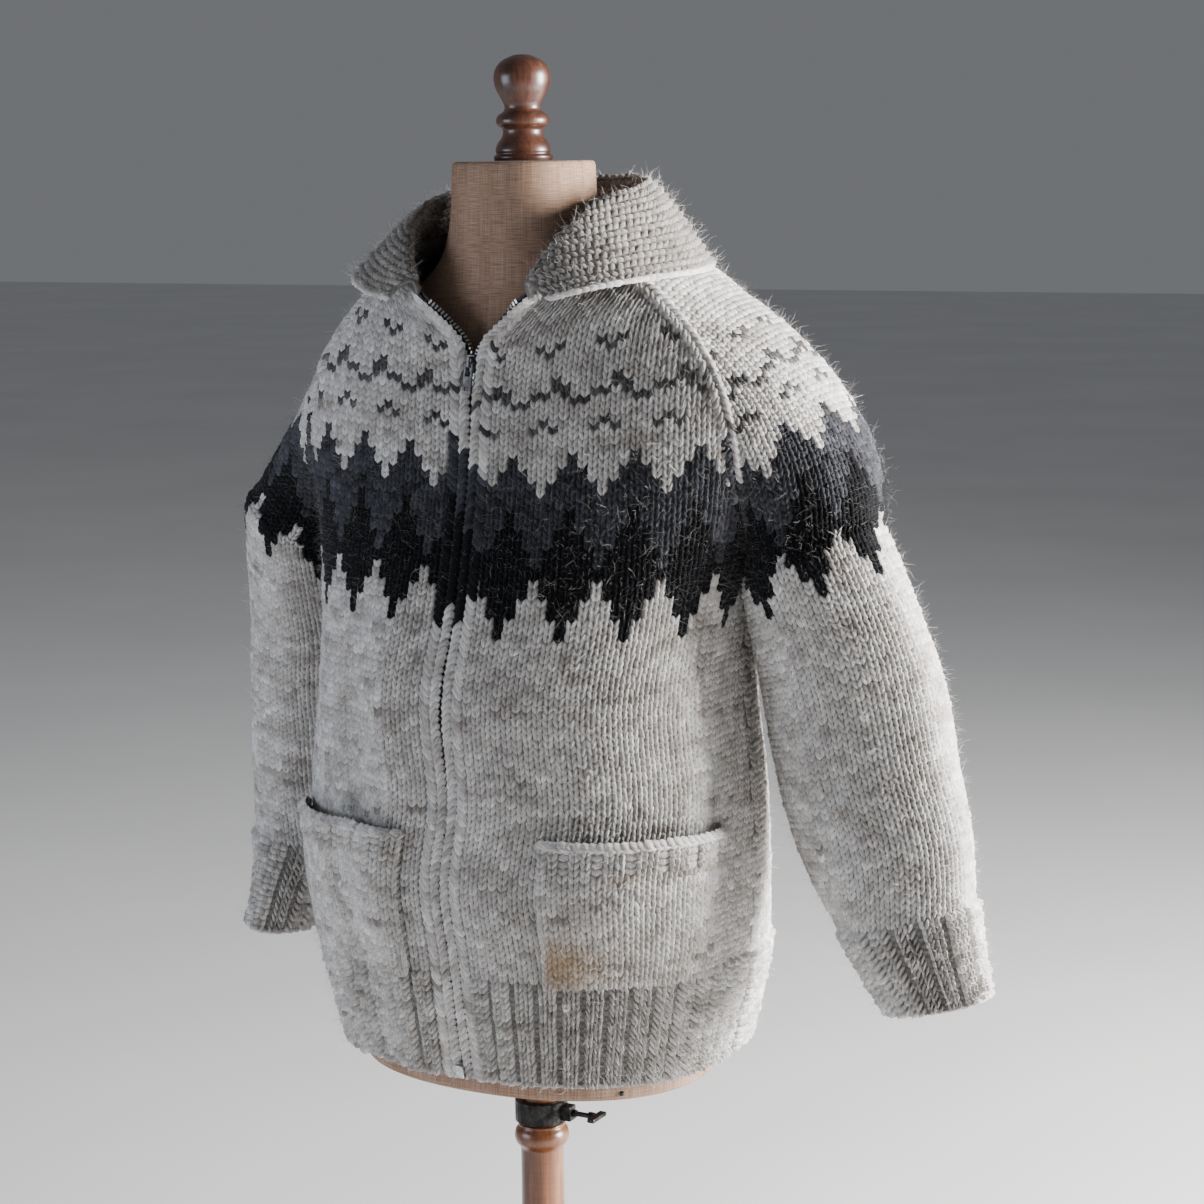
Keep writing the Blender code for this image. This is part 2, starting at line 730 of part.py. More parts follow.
def collar_rows(surface, grids):
    """Rows from the neck seam up to the fold line and down to the outer edge."""
    base = neckline(surface, grids)
    lengths = [0.0]
    for start, end in zip(base, base[1:]):
        lengths.append(lengths[-1] + (end - start).length)
    rows = []
    for row in range(COLLAR_ROWS + 1):
        share = row / COLLAR_ROWS
        points = []
        for point, length in zip(base, lengths):
            place_round = 2 * length / lengths[-1] - 1
            side = 1 if place_round > 0 else -1
            step = 1 - abs(place_round)
            table = COLLAR_LEFT if side > 0 else COLLAR_RIGHT
            fold = read_point(table, step, 1)
            edge = read_point(table, step, 4)
            fold.x *= side
            edge.x *= side
            handle = 2 * fold - (point + edge) / 2
            points.append(point * (1 - share) ** 2 + handle * 2 * share * (1 - share)
                          + edge * share ** 2)
        rows.append(points)
    return rows


def pocket_patch(name, front, surface, grids, material):
    """A patch pocket made from the front's own points, moved out, with a gaping mouth."""
    first, last = POCKET_COLUMNS[front]
    bottom, top = POCKET_ROWS
    columns = range(first, last + 1)
    rows = range(bottom, top + 1)
    inside = grids[front]
    faces = []
    chosen = {inside[row][column] for row in rows for column in columns}
    for face in surface.faces[front]:
        if all(index in chosen for index in face):
            faces.append(face)
    shift = {}
    for row in rows:
        for column in columns:
            index = inside[row][column]
            across = (column - first) / (last - first)
            up = (row - bottom) / (top - bottom)
            gape = POCKET_GAPE * up ** 1.4 * math.sin(math.pi * across) ** 0.7 if 0 < across < 1 else 0
            shift[index] = surface.normals[index] * (WALL + GAP + gape)
    return thicken(name, surface, faces, WALL, material, shift)


def zip_tape(name, front, side, surface, grids, material):
    """A strip behind a front's edge, from the hem to the collar, holding the teeth."""
    rows = []
    for row in range(len(grids[front])):
        edge = surface.points[grids[front][row][0]]
        second = surface.points[grids[front][row][1]]
        normal = surface.normals[grids[front][row][0]]
        across = (second - edge).normalized()
        reach = min(read(ZIP_LINE, edge.z, 2) - GAP / 2, TEETH_REACH)
        under = min(TAPE_UNDER, (second - edge).length * 0.9)
        back_off = normal.normalized() * -(WALL / 2 + TAPE_GAP + TAPE_WALL / 2)
        teeth = edge - across * reach + back_off
        centre = read(ZIP_LINE, edge.z, 1)
        teeth.x = centre + side * max(side * (teeth.x - centre), GAP / 2)
        rows.append([teeth, edge + across * under / 3 + back_off, edge + across * under + back_off])
    strip = Surface()
    strip.add_grid(name, rows, flip=side < 0)
    strip.find_normals()
    return thicken(name, strip, strip.faces[name], TAPE_WALL, material, gap=0.0)


def garment():
    wool = make_material("wool", (0.56, 0.52, 0.47), 0.95)
    tape = make_material("zip_tape", (0.16, 0.15, 0.15), 0.8)
    surface, grids = build_surface()
    pieces = [thicken(name, surface, surface.faces[name], WALL, wool)
              for name in ("front_left", "front_right", "back", "sleeve_left", "sleeve_right")]
    pieces.append(thicken("collar", surface, surface.faces["collar"], COLLAR_WALL, wool))
    pieces.append(pocket_patch("pocket_left", "front_left", surface, grids, wool))
    pieces.append(pocket_patch("pocket_right", "front_right", surface, grids, wool))
    pieces.append(zip_tape("zip_tape_left", "front_left", 1, surface, grids, tape))
    pieces.append(zip_tape("zip_tape_right", "front_right", -1, surface, grids, tape))
    return pieces


# ---------------------------------------------------------------- zip hardware
def zip_frame(z):
    """A place on the zip's line: its point, and a turn whose -Y looks out of the chest."""
    low = Vector((0, -read(TORSO, z - 0.01, 2), z - 0.01))
    high = Vector((0, -read(TORSO, z + 0.01, 2), z + 0.01))
    lean = math.atan2(high.y - low.y, high.z - low.z)
    point = Vector((read(ZIP_LINE, z, 1), -read(TORSO, z, 2), z))
    return Matrix.Translation(point) @ Matrix.Rotation(-lean, 4, "X")


def zip_hardware():
    steel = make_material("zip_steel", (0.30, 0.29, 0.28), 0.35, 1.0)
    at_slider = zip_frame(SLIDER_Z)
    body = block("zip_slider", (SLIDER_WIDTH, SLIDER_DEPTH, SLIDER_LENGTH), steel, bevel=0.0010)
    crown = block("crown_shape", (CROWN_WIDTH, CROWN_RISE + 0.001, 0.0088), steel, bevel=0.0006)
    crown.location = (0, -SLIDER_DEPTH / 2 - CROWN_RISE / 2 + 0.0005, 0.001)
    eye = block("crown_eye", (0.02, 0.0028, 0.0058), steel)
    eye.location = (0, -SLIDER_DEPTH / 2 - 0.0016, 0.001)
    for shape in (crown, eye):
        shape.parent = body
    cut(body, crown, "UNION")
    cut(body, eye)
    body.matrix_world = at_slider
    hinge_local = Vector((0, -SLIDER_DEPTH / 2 - 0.0016, 0.0))
    hinge = bpy.data.objects.new("pull_hinge", None)
    bpy.context.scene.collection.objects.link(hinge)
    hinge.matrix_world = at_slider @ Matrix.Translation(hinge_local) @ Matrix.Rotation(-PULL_LIFT, 4, "X")
    pull = block("zip_pull", (PULL_WIDTH, PULL_THICK, PULL_LENGTH), steel, bevel=0.0006)
    window = block("pull_window", (CROWN_WIDTH + 0.0016, 0.01, 0.0098), steel)
    window.location = (0, 0, PULL_LENGTH / 2 - PULL_THICK - 0.0049)
    hole = block("pull_slot", (0.0042, 0.01, 0.0030), steel)
    hole.location = (0, 0, -PULL_LENGTH / 2 + 0.0038)
    for shape in (window, hole):
        shape.parent = pull
        cut(pull, shape)
    pull.parent = hinge
    pull.location = (0, 0, -PULL_LENGTH / 2 + PULL_THICK / 2)
    retainer = block("zip_box", (BOX_WIDTH, 0.0036, BOX_LENGTH), steel, bevel=0.0007)
    at_foot = zip_frame(HEM_Z + BOX_LENGTH / 2 + 0.001)
    retainer.matrix_world = at_foot @ Matrix.Translation((0, -0.0048, 0))
    return body, pull, retainer


# ---------------------------------------------------------------- form and stand
def dress_form():
    linen = make_material("linen", (0.52, 0.42, 0.32), 0.85)
    low = FORM[0][0]
    high = FORM[-1][0]
    heights = sorted({row[0] for row in FORM}
                     | {low + (high - low) * ring / FORM_RINGS for ring in range(FORM_RINGS + 1)
                        if low + (high - low) * ring / FORM_RINGS < 0.95})
    mesh = bmesh.new()
    rings = []
    for z in heights:
        angles = [2 * math.pi * number / FORM_SIDES for number in range(FORM_SIDES)]
        rings.append([mesh.verts.new(section_point(FORM, z, angle, FORM_POWER)) for angle in angles])
    for lower, upper in zip(rings, rings[1:]):
        for number in range(FORM_SIDES):
            other = (number + 1) % FORM_SIDES
            mesh.faces.new((lower[number], lower[other], upper[other], upper[number]))
    mesh.faces.new(rings[0])
    mesh.faces.new(rings[-1])
    form = finish_mesh("form_torso", mesh, linen)
    bore = turned("bore_cutter", ((low - 0.01, BORE_RADIUS), (BORE_TOP_Z, BORE_RADIUS)), linen, 24)
    cut(form, bore)
    return form


def stand():
    wood = make_material("turned_wood", (0.33, 0.13, 0.06), 0.4)
    iron = make_material("clamp_iron", (0.03, 0.03, 0.035), 0.45, 1.0)
    post = turned("post", POST_PROFILE, wood)
    base = turned("base", BASE_PROFILE, wood, sides=64)
    finial = turned("finial", FINIAL_PROFILE, wood)
    top = RING_BOTTOM_Z + RING_HEIGHT
    ring = turned("clamp_ring", ((RING_BOTTOM_Z, RING_INNER), (RING_BOTTOM_Z, RING_OUTER - 0.001),
                                 (RING_BOTTOM_Z + 0.001, RING_OUTER), (top - 0.001, RING_OUTER),
                                 (top, RING_OUTER - 0.001), (top, RING_INNER)), iron, closed=True)
    lug = block("ring_lug", (0.0100, 0.0110, 0.0130), iron, bevel=0.0012)
    lug.location = (BOSS_OUT - 0.0050, 0, SCREW_Z)
    cut(ring, lug, "UNION")
    return post, base, finial, ring, iron


def clamp_screw(iron):
    """A thumb screw along X: a shank with a flat lever across its outer end."""
    screw = turned("clamp_screw", ((0.0, 0.0032), (0.0030, 0.0032), (0.0031, 0.0022),
                                   (0.0150, 0.0022), (0.0151, 0.0036), (0.0200, 0.0036)), iron, 16)
    lever = block("lever_shape", (0.0040, 0.0240, 0.0070), iron, bevel=0.0014)
    lever.location = (0, 0, 0.0225)
    lever.parent = screw
    cut(screw, lever, "UNION")
    screw.rotation_euler = (0, math.radians(90), 0)
    screw.location = (BOSS_OUT + GAP, 0, SCREW_Z)
    return screw


def build():
    clear_scene()
    post, base, finial, ring, iron = stand()
    form = dress_form()
    screw = clamp_screw(iron)
    bpy.context.view_layer.update()
    for piece in garment():
        place(piece, form)
    for piece in zip_hardware():
        if piece.parent is None:
            place(piece, form)
    place(finial, form)
    place(screw, ring)
    place(ring, post)
    place(form, post)
    place(post, base)


build()
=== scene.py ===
"""Cowichan sweater on a limbless dress form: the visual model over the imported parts.

Every knitted piece is a thin base shell on its part's surface, and yarn laid on it
stitch by stitch: each knit stitch is two plump legs of a V.  Rows follow the piece's
levels, wales are measured along each row, and the yoke's colours come from a chart.
"""
import math

import bpy
import numpy as np
from mathutils import Matrix, Vector


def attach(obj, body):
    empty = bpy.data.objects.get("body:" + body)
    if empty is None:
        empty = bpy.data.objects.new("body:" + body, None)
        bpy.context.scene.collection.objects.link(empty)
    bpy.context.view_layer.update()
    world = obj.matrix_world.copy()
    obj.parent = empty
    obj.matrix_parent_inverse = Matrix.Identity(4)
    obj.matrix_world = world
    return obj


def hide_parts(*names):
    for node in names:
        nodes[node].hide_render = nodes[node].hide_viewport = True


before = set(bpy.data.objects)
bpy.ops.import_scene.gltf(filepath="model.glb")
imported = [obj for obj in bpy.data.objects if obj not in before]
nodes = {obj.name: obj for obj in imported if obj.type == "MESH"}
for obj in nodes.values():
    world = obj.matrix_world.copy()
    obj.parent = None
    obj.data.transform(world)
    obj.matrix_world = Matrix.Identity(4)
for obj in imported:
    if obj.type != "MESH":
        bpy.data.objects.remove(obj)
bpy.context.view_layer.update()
random = np.random.default_rng(1947)

# ---------------------------------------------------------------- sizes shared with the parts
WALL = 0.0045
GAP = 0.0003
HEM_Z = 0.410
RIB_TOP_Z = 0.499
POCKET_TOP_Z = 0.615
UNDERARM_Z = 0.800
NECK_POINT_Z = 1.036
BACK_NECK_Z = 1.080
SIDE_ANGLE = math.radians(93)
SECTION_POWER = 2.4
POCKET_GAPE = 0.0130
RIGHT_SHOULDER_IN = 0.026
RIGHT_RAGLAN_IN = 0.020
TEETH_REACH = 0.0050
TAPE_UNDER = 0.0115
TAPE_GAP = 0.0014
TAPE_WALL = 0.0022
CUFF_STEP = 0.70

TORSO = (
    # z,    half_width, front, back, widest_y
    (0.410, 0.166, 0.125, 0.170, 0.012),
    (0.450, 0.175, 0.134, 0.172, 0.014),
    (0.490, 0.184, 0.142, 0.172, 0.015),
    (0.560, 0.190, 0.150, 0.168, 0.014),
    (0.640, 0.187, 0.146, 0.158, 0.012),
    (0.720, 0.178, 0.143, 0.149, 0.012),
    (0.800, 0.179, 0.126, 0.148, 0.014),
    (0.860, 0.205, 0.113, 0.151, 0.020),
    (0.920, 0.226, 0.100, 0.150, 0.026),
    (0.980, 0.222, 0.089, 0.138, 0.026),
    (1.040, 0.192, 0.083, 0.112, 0.020),
    (1.090, 0.150, 0.080, 0.088, 0.004),
)
ZIP_LINE = (
    # z,    x_centre, half_gap
    (0.410, 0.000, 0.0022),
    (0.450, 0.001, 0.0020),
    (0.520, 0.001, 0.0018),
    (0.575, -0.0035, 0.0018),
    (0.640, 0.0035, 0.0018),
    (0.720, -0.0026, 0.0030),
    (0.790, 0.0030, 0.0020),
    (0.880, 0.0045, 0.0018),
    (0.955, 0.0010, 0.0030),
    (0.985, 0.0000, 0.0058),
    (1.000, 0.0000, 0.0100),
    (1.018, 0.0000, 0.0290),
    (1.036, 0.0000, 0.0500),
)
RAGLAN = (
    # step, front_x, front_y, front_z, back_x, back_y, back_z
    (0.00, 0.184, 0.035, 0.800, 0.184, 0.035, 0.800),
    (0.17, 0.200, -0.008, 0.845, 0.206, 0.088, 0.850),
    (0.33, 0.206, -0.036, 0.890, 0.208, 0.116, 0.900),
    (0.50, 0.203, -0.044, 0.935, 0.194, 0.123, 0.950),
    (0.67, 0.186, -0.043, 0.982, 0.167, 0.118, 0.998),
    (0.83, 0.150, -0.038, 1.026, 0.129, 0.099, 1.042),
    (1.00, 0.098, -0.040, 1.066, 0.090, 0.070, 1.076),
)
SHOULDER = (
    # step, ridge_x, ridge_y, ridge_z, depth_radius, half_turn
    (0.00, 0.2970, 0.042, 0.862, 0.062, 180),
    (0.17, 0.2880, 0.046, 0.895, 0.067, 130),
    (0.33, 0.2650, 0.050, 0.933, 0.078, 104),
    (0.50, 0.2320, 0.051, 0.974, 0.083, 92),
    (0.67, 0.1920, 0.048, 1.011, 0.080, 82),
    (0.83, 0.1440, 0.036, 1.044, 0.070, 76),
    (1.00, 0.1020, 0.018, 1.080, 0.057, 72),
)
SLEEVES = {
    # step, x, y, z, across, depth, tilt
    1: (
        (0.00, 0.2405, 0.040, 0.831, 0.0645, 0.062, 28.5),
        (0.13, 0.2620, 0.044, 0.760, 0.0715, 0.060, 20.0),
        (0.27, 0.2750, 0.045, 0.705, 0.0755, 0.060, 17.0),
        (0.42, 0.2890, 0.044, 0.645, 0.0750, 0.060, 15.0),
        (0.56, 0.3050, 0.041, 0.595, 0.0710, 0.058, 15.0),
        (0.70, 0.3230, 0.036, 0.542, 0.0570, 0.050, 16.0),
        (0.85, 0.3360, 0.031, 0.508, 0.0470, 0.040, 16.0),
        (1.00, 0.3510, 0.026, 0.4755, 0.0400, 0.028, 14.0),
    ),
    -1: (
        (0.00, 0.2405, 0.040, 0.831, 0.0645, 0.062, 28.5),
        (0.13, 0.2500, 0.050, 0.765, 0.0640, 0.060, 18.0),
        (0.27, 0.2520, 0.058, 0.715, 0.0620, 0.058, 12.0),
        (0.42, 0.2540, 0.060, 0.655, 0.0575, 0.056, 8.0),
        (0.56, 0.2570, 0.056, 0.600, 0.0540, 0.055, 6.0),
        (0.70, 0.2560, 0.040, 0.548, 0.0460, 0.050, 5.0),
        (0.85, 0.2610, 0.022, 0.510, 0.0330, 0.046, 5.0),
        (1.00, 0.2680, 0.010, 0.475, 0.0250, 0.042, 8.0),
    ),
}
COLLAR_LEFT = (
    # step, fold_x, fold_y, fold_z, edge_x, edge_y, edge_z
    (0.00, 0.053, -0.092, 1.050, 0.073, -0.096, 1.036),
    (0.15, 0.067, -0.072, 1.078, 0.104, -0.086, 1.044),
    (0.32, 0.080, -0.034, 1.105, 0.134, -0.054, 1.050),
    (0.55, 0.092, 0.028, 1.121, 0.148, 0.024, 1.054),
    (0.78, 0.066, 0.080, 1.127, 0.104, 0.118, 1.056),
    (1.00, 0.000, 0.098, 1.126, 0.000, 0.150, 1.050),
)
COLLAR_RIGHT = (
    # step, fold_x, fold_y, fold_z, edge_x, edge_y, edge_z
    (0.00, 0.053, -0.092, 1.050, 0.073, -0.096, 1.036),
    (0.15, 0.067, -0.074, 1.072, 0.101, -0.086, 1.041),
    (0.32, 0.083, -0.038, 1.098, 0.127, -0.060, 1.051),
    (0.55, 0.088, 0.024, 1.115, 0.139, 0.022, 1.060),
    (0.78, 0.064, 0.078, 1.123, 0.102, 0.118, 1.060),
    (1.00, 0.000, 0.098, 1.126, 0.000, 0.150, 1.050),
)
FOLDS = {
    # across, up, across_end, up_end, width, depth
    "front_left": (
        (0.86, 0.22, 0.90, 0.52, 0.07, -0.006),
        (0.70, 0.20, 0.78, 0.45, 0.09, 0.004),
        (0.20, 0.10, 0.12, 0.45, 0.09, 0.003),
    ),
    "front_right": (
        (0.16, 0.05, 0.20, 0.55, 0.08, 0.007),
        (0.32, 0.05, 0.36, 0.48, 0.07, -0.006),
        (0.72, 0.25, 0.80, 0.50, 0.08, 0.004),
    ),
    "back": (
        (0.12, 0.20, 0.16, 0.50, 0.05, -0.006),
        (0.88, 0.22, 0.84, 0.52, 0.05, -0.006),
        (0.36, 0.02, 0.40, 0.40, 0.05, 0.006),
        (0.60, 0.02, 0.58, 0.36, 0.05, 0.005),
    ),
    "sleeve_left": (
        (0.40, 0.62, 0.66, 0.50, 0.10, -0.006),
        (0.36, 0.42, 0.62, 0.30, 0.10, -0.006),
        (0.58, 0.20, 0.80, 0.26, 0.09, -0.005),
    ),
    "sleeve_right": (
        (0.34, 0.52, 0.66, 0.44, 0.09, -0.007),
        (0.40, 0.40, 0.52, 0.14, 0.09, 0.005),
        (0.30, 0.24, 0.40, 0.08, 0.09, -0.005),
    ),
}
POCKET_ACROSS = {"front_left": (0.30, 0.82), "front_right": (0.13, 0.65)}
FORM = (
    # z,    half_width, front, back
    (0.392, 0.154, 0.114, 0.150),
    (0.440, 0.157, 0.117, 0.151),
    (0.500, 0.161, 0.121, 0.149),
    (0.560, 0.163, 0.123, 0.144),
    (0.640, 0.159, 0.120, 0.136),
    (0.720, 0.154, 0.115, 0.130),
    (0.800, 0.156, 0.105, 0.130),
    (0.860, 0.163, 0.095, 0.130),
    (0.920, 0.166, 0.084, 0.126),
    (0.962, 0.162, 0.074, 0.118),
    (0.995, 0.148, 0.067, 0.106),
    (1.020, 0.124, 0.062, 0.090),
    (1.042, 0.094, 0.059, 0.075),
    (1.064, 0.071, 0.0575, 0.064),
    (1.095, 0.0600, 0.0570, 0.058),
    (1.1425, 0.0565, 0.0565, 0.0565),
)
FORM_POWER = 2.2
POST_PROFILE = (
    # z, radius
    (0.0345, 0.0320), (0.0460, 0.0335), (0.0540, 0.0300), (0.0600, 0.0235), (0.0680, 0.0225),
    (0.0740, 0.0265), (0.0800, 0.0225), (0.0900, 0.0195), (0.2000, 0.0190), (0.3080, 0.0182),
    (0.3115, 0.0196), (0.3150, 0.0222), (0.3200, 0.0233), (0.3250, 0.0224), (0.3290, 0.0200),
    (0.3310, 0.0196), (0.3327, 0.0172), (0.5000, 0.0172),
)
BASE_PROFILE = (
    (0.0000, 0.166), (0.0040, 0.170), (0.0150, 0.170), (0.0190, 0.164), (0.0240, 0.152),
    (0.0300, 0.130), (0.0340, 0.104),
)
FINIAL_PROFILE = (
    (1.1428, 0.0235), (1.1465, 0.0240), (1.1480, 0.0220), (1.1510, 0.0226), (1.1560, 0.0212),
    (1.1620, 0.0172), (1.1680, 0.0166), (1.1710, 0.0205), (1.1750, 0.0218), (1.1790, 0.0200),
    (1.1820, 0.0158), (1.1860, 0.0146), (1.1930, 0.0178), (1.2010, 0.0218), (1.2090, 0.0231),
    (1.2165, 0.0213), (1.2225, 0.0160), (1.2260, 0.0085),
)

# ---------------------------------------------------------------- yarn
COURSE = 0.0055          # height of a row of stitches
WALE = 0.0084            # width of a stitch in the body
BAND = 0.0175            # rolled band up each front's edge
RIB_REPEAT = 0.0180      # two raised wales and the recess beside them
BASE_OUT = 0.0002        # outer face of the base shell, from the wall's middle
BASE_IN = 0.0016
STITCH_RISE = 0.0031
LEG_FOOT = (-0.30, 0.11)     # a leg's start: courses up, share of a wale from its middle
LEG_HEAD = (1.30, 0.38)      # and its end
LEG_HALF = 0.236             # half of a leg's width, as a share of the wale
RIB_KNIT = (0.20, 0.57)      # middles of a rib's two raised wales, as shares of the repeat
RIB_PURL = 0.885             # middle of the sunken wale
RIB_WALE = 0.38              # width of a raised wale
RIB_RISE = 2.2               # how far ribs stand out, in stitches' rises
RAGLAN_IN = 0.0036           # from a raglan edge in to its cord
SEAM_IN = 0.002              # from a seamed edge in to the first stitch
CORD_SUNK = -0.0004          # how high a cord's sides lie over its panel
CORD_PITCH = 0.0056          # length of one leg of the cords beside the zip
RAGLAN_CORD = (0.0084, 0.0054, 0.0058)    # width, rise, pitch
# Other cords: width, rise, pitch, slant.
CAST_ON_CORD = (0.0050, 0.0030, 0.0066, 0.5)
POCKET_MOUTH_CORD = (0.0090, 0.0056, 0.0060, 0.6)
POCKET_SIDE_CORD = (0.0052, 0.0030, 0.0056, 0.5)
COLLAR_RIM_CORD = (0.0056, 0.0034, 0.0064, 0.5)
# Sunken purl stitches: half width, half length in courses, rise, and painted shade (how much darker the yarn
# is drawn in its recess).
HEM_PURL = (0.0030, 0.35, 0.0014, 0.36)
POCKET_PURL = (0.0042, 0.55, 0.0024, 0.85)
OATMEAL = np.array((0.530, 0.508, 0.490))
PALE = np.array((0.700, 0.680, 0.650))
BROWN = np.array((0.290, 0.262, 0.240))
BLACK = np.array((0.0045, 0.0047, 0.0062))
GREY = np.array((0.043, 0.044, 0.052))
MOTIF = np.array((0.082, 0.078, 0.080))
STAIN = np.array((0.36, 0.21, 0.075))
STAINS = (
    # centre, radius, strength
    ((0.097, -0.135, 0.515), (0.032, 0.032, 0.022), 0.75),
    ((0.150, -0.115, 0.597), (0.024, 0.024, 0.014), 0.40),
)


# ---------------------------------------------------------------- tables
def read(table, at, column):
    """Smooth curve through one column of a table, at a place in its first column."""
    keys = [row[0] for row in table]
    at = min(max(at, keys[0]), keys[-1])
    low = 0
    while low < len(keys) - 2 and at > keys[low + 1]:
        low += 1
    before = table[max(low - 1, 0)]
    start = table[low]
    end = table[low + 1]
    after = table[min(low + 2, len(table) - 1)]
    span = end[0] - start[0]
    share = (at - start[0]) / span
    slope_start = (end[column] - before[column]) / max(end[0] - before[0], 1e-9)
    slope_end = (after[column] - start[column]) / max(after[0] - start[0], 1e-9)
    square = share * share
    cube = square * share
    return (start[column] * (2 * cube - 3 * square + 1)
            + end[column] * (3 * square - 2 * cube)
            + slope_start * span * (cube - 2 * square + share)
            + slope_end * span * (cube - square))


def read_point(table, at, column):
    return Vector([read(table, at, column + axis) for axis in range(3)])


def section_point(table, z, angle, power, middle=0.0):
    """A point of a table's section, turned from the front about its widest line."""
    front = read(table, z, 2) + middle
    back = read(table, z, 3) - middle
    depth = front if math.cos(angle) > 0 else back
    across = abs(math.sin(angle)) / read(table, z, 1)
    along = abs(math.cos(angle)) / depth
    radius = (across ** power + along ** power) ** (-1 / power)
    return Vector((radius * math.sin(angle), middle - radius * math.cos(angle), z))


def torso_point(z, angle):
    return section_point(TORSO, z, angle, SECTION_POWER, read(TORSO, z, 4))


def turn_of(point):
    return math.atan2(abs(point.x), read(TORSO, point.z, 4) - point.y)


# ---------------------------------------------------------------- surfaces of the parts
def fold_height(name, across, up):
    total = 0.0
    for start_a, start_u, end_a, end_u, width, depth in FOLDS.get(name, ()):
        along = Vector((end_a - start_a, end_u - start_u))
        offset = Vector((across - start_a, up - start_u))
        nearest = min(max(offset.dot(along) / along.length_squared, 0.0), 1.0)
        miss = (offset - along * nearest).length / width
        total += depth * math.exp(-miss * miss)
    return total


def edge_fade(across):
    return max(0.0, math.sin(math.pi * across)) ** 0.5 if 0 < across < 1 else 0.0


def slack(step):
    """How far the wearer's right shoulder has settled: nothing at the underarm and the neck."""
    return max(0.0, math.sin(math.pi * step)) ** 0.6


def raglan_front(step, side):
    point = read_point(RAGLAN, step, 1)
    if side < 0:
        point.x -= RIGHT_RAGLAN_IN * slack(step)
    return Vector((side * point.x, point.y, point.z))


def raglan_back(step, side):
    point = read_point(RAGLAN, step, 4)
    return Vector((side * point.x, point.y, point.z))


def front_edge(z, side):
    x = read(ZIP_LINE, z, 1) + side * read(ZIP_LINE, z, 2)
    return Vector((x, -read(TORSO, z, 2), z))


def seam_low(z, side):
    def side_seam(height):
        point = torso_point(height, SIDE_ANGLE)
        return Vector((side * point.x, point.y, height))
    lean = raglan_front(0, side) - side_seam(UNDERARM_Z)
    return side_seam(z) + lean * ((z - HEM_Z) / (UNDERARM_Z - HEM_Z)) ** 3


def front_surface(name, side, across, level):
    """Level runs 0 to 1 from hem to underarm, and on to 2 at the neck."""
    if level <= 1:
        z = HEM_Z + (UNDERARM_Z - HEM_Z) * level
        start = front_edge(z, side)
        end = seam_low(z, side)
        up = 0.6 * level
    else:
        start = front_edge(UNDERARM_Z + (NECK_POINT_Z - UNDERARM_Z) * (level - 1), side)
        end = raglan_front(level - 1, side)
        up = 0.6 + 0.4 * (level - 1)
    first = turn_of(start) if start.x * side > 0 else -turn_of(start)
    last = turn_of(end)

    def on_torso(share):
        z = start.z + (end.z - start.z) * share
        point = torso_point(z, first + (last - first) * share)
        return Vector((side * point.x, point.y, z))

    point = on_torso(across)
    point = point + (start - on_torso(0)) * (1 - across) + (end - on_torso(1)) * across
    out = Vector((point.x, point.y * 1.4, 0)).normalized()
    return point + out * fold_height(name, across, up) * edge_fade(across)


def back_surface(across, level):
    """Across runs from the wearer's right side to the left."""
    side = -1 if across < 0.5 else 1
    if level <= 1:
        z = HEM_Z + (UNDERARM_Z - HEM_Z) * level
        end = seam_low(z, side)
        middle = Vector((0, read(TORSO, z, 3), z))
        up = 0.6 * level
    else:
        end = raglan_back(level - 1, side)
        z_middle = UNDERARM_Z + (BACK_NECK_Z - UNDERARM_Z) * (level - 1)
        middle = Vector((0, read(TORSO, z_middle, 3), z_middle))
        up = 0.6 + 0.4 * (level - 1)
    share = abs(across - 0.5) * 2
    last = turn_of(end)

    def on_torso(part):
        z_part = middle.z + (end.z - middle.z) * part * part
        point = torso_point(z_part, math.pi + (last - math.pi) * part)
        return Vector((side * point.x, point.y, z_part))

    point = on_torso(share) + (middle - on_torso(0)) * (1 - share) + (end - on_torso(1)) * share
    out = Vector((point.x, point.y * 1.4, 0)).normalized()
    return point + out * fold_height("back", across, up) * edge_fade(across)


def cap_surface(name, side, across, step):
    front = raglan_front(step, side)
    back = raglan_back(step, side)
    ridge = read_point(SHOULDER, step, 1)
    if side < 0:
        ridge.x -= RIGHT_SHOULDER_IN * slack(step)
    ridge.x *= side
    depth = read(SHOULDER, step, 4)
    half_turn = math.radians(read(SHOULDER, step, 5))
    middle = (front + back) / 2
    rise = (ridge - middle) / (1 - math.cos(half_turn))

    def on_oval(angle):
        level = middle + rise * (math.cos(angle) - math.cos(half_turn))
        return level + Vector((0, -depth * math.sin(angle), 0))

    point = on_oval(half_turn * (1 - 2 * across))
    point += (front - on_oval(half_turn)) * (1 - across) + (back - on_oval(-half_turn)) * across
    out = (point - middle).normalized()
    return point + out * fold_height(name, across, 0.6 + 0.4 * step) * edge_fade(across)


def arm_surface(name, side, across, step):
    table = SLEEVES[side]
    centre = read_point(table, step, 1)
    radius_across = read(table, step, 4)
    radius_depth = read(table, step, 5)
    tilt = math.radians(read(table, step, 6))
    turn = math.pi * (1 - 2 * across)
    out = math.cos(turn) * radius_across
    point = Vector((centre.x + out * math.cos(tilt),
                    centre.y - radius_depth * math.sin(turn),
                    centre.z + out * math.sin(tilt)))
    push = fold_height(name, across, 0.6 * (1 - step)) * edge_fade(across)
    outward = Vector((math.cos(turn) * math.cos(tilt), -math.sin(turn), math.cos(turn) * math.sin(tilt)))
    point += outward * push
    return Vector((side * point.x, point.y, point.z))


def sleeve_surface(name, side, across, level):
    """Level runs 0 to 1 from the cuff's edge to the underarm, and on to 2 at the neck."""
    if level > 1:
        return cap_surface(name, side, across, level - 1)
    step = 1 - level
    point = arm_surface(name, side, across, step)
    lean = raglan_front(0, side) - arm_surface(name, side, 0, 0)
    return point + lean * max(0.0, 1 - step * 4)


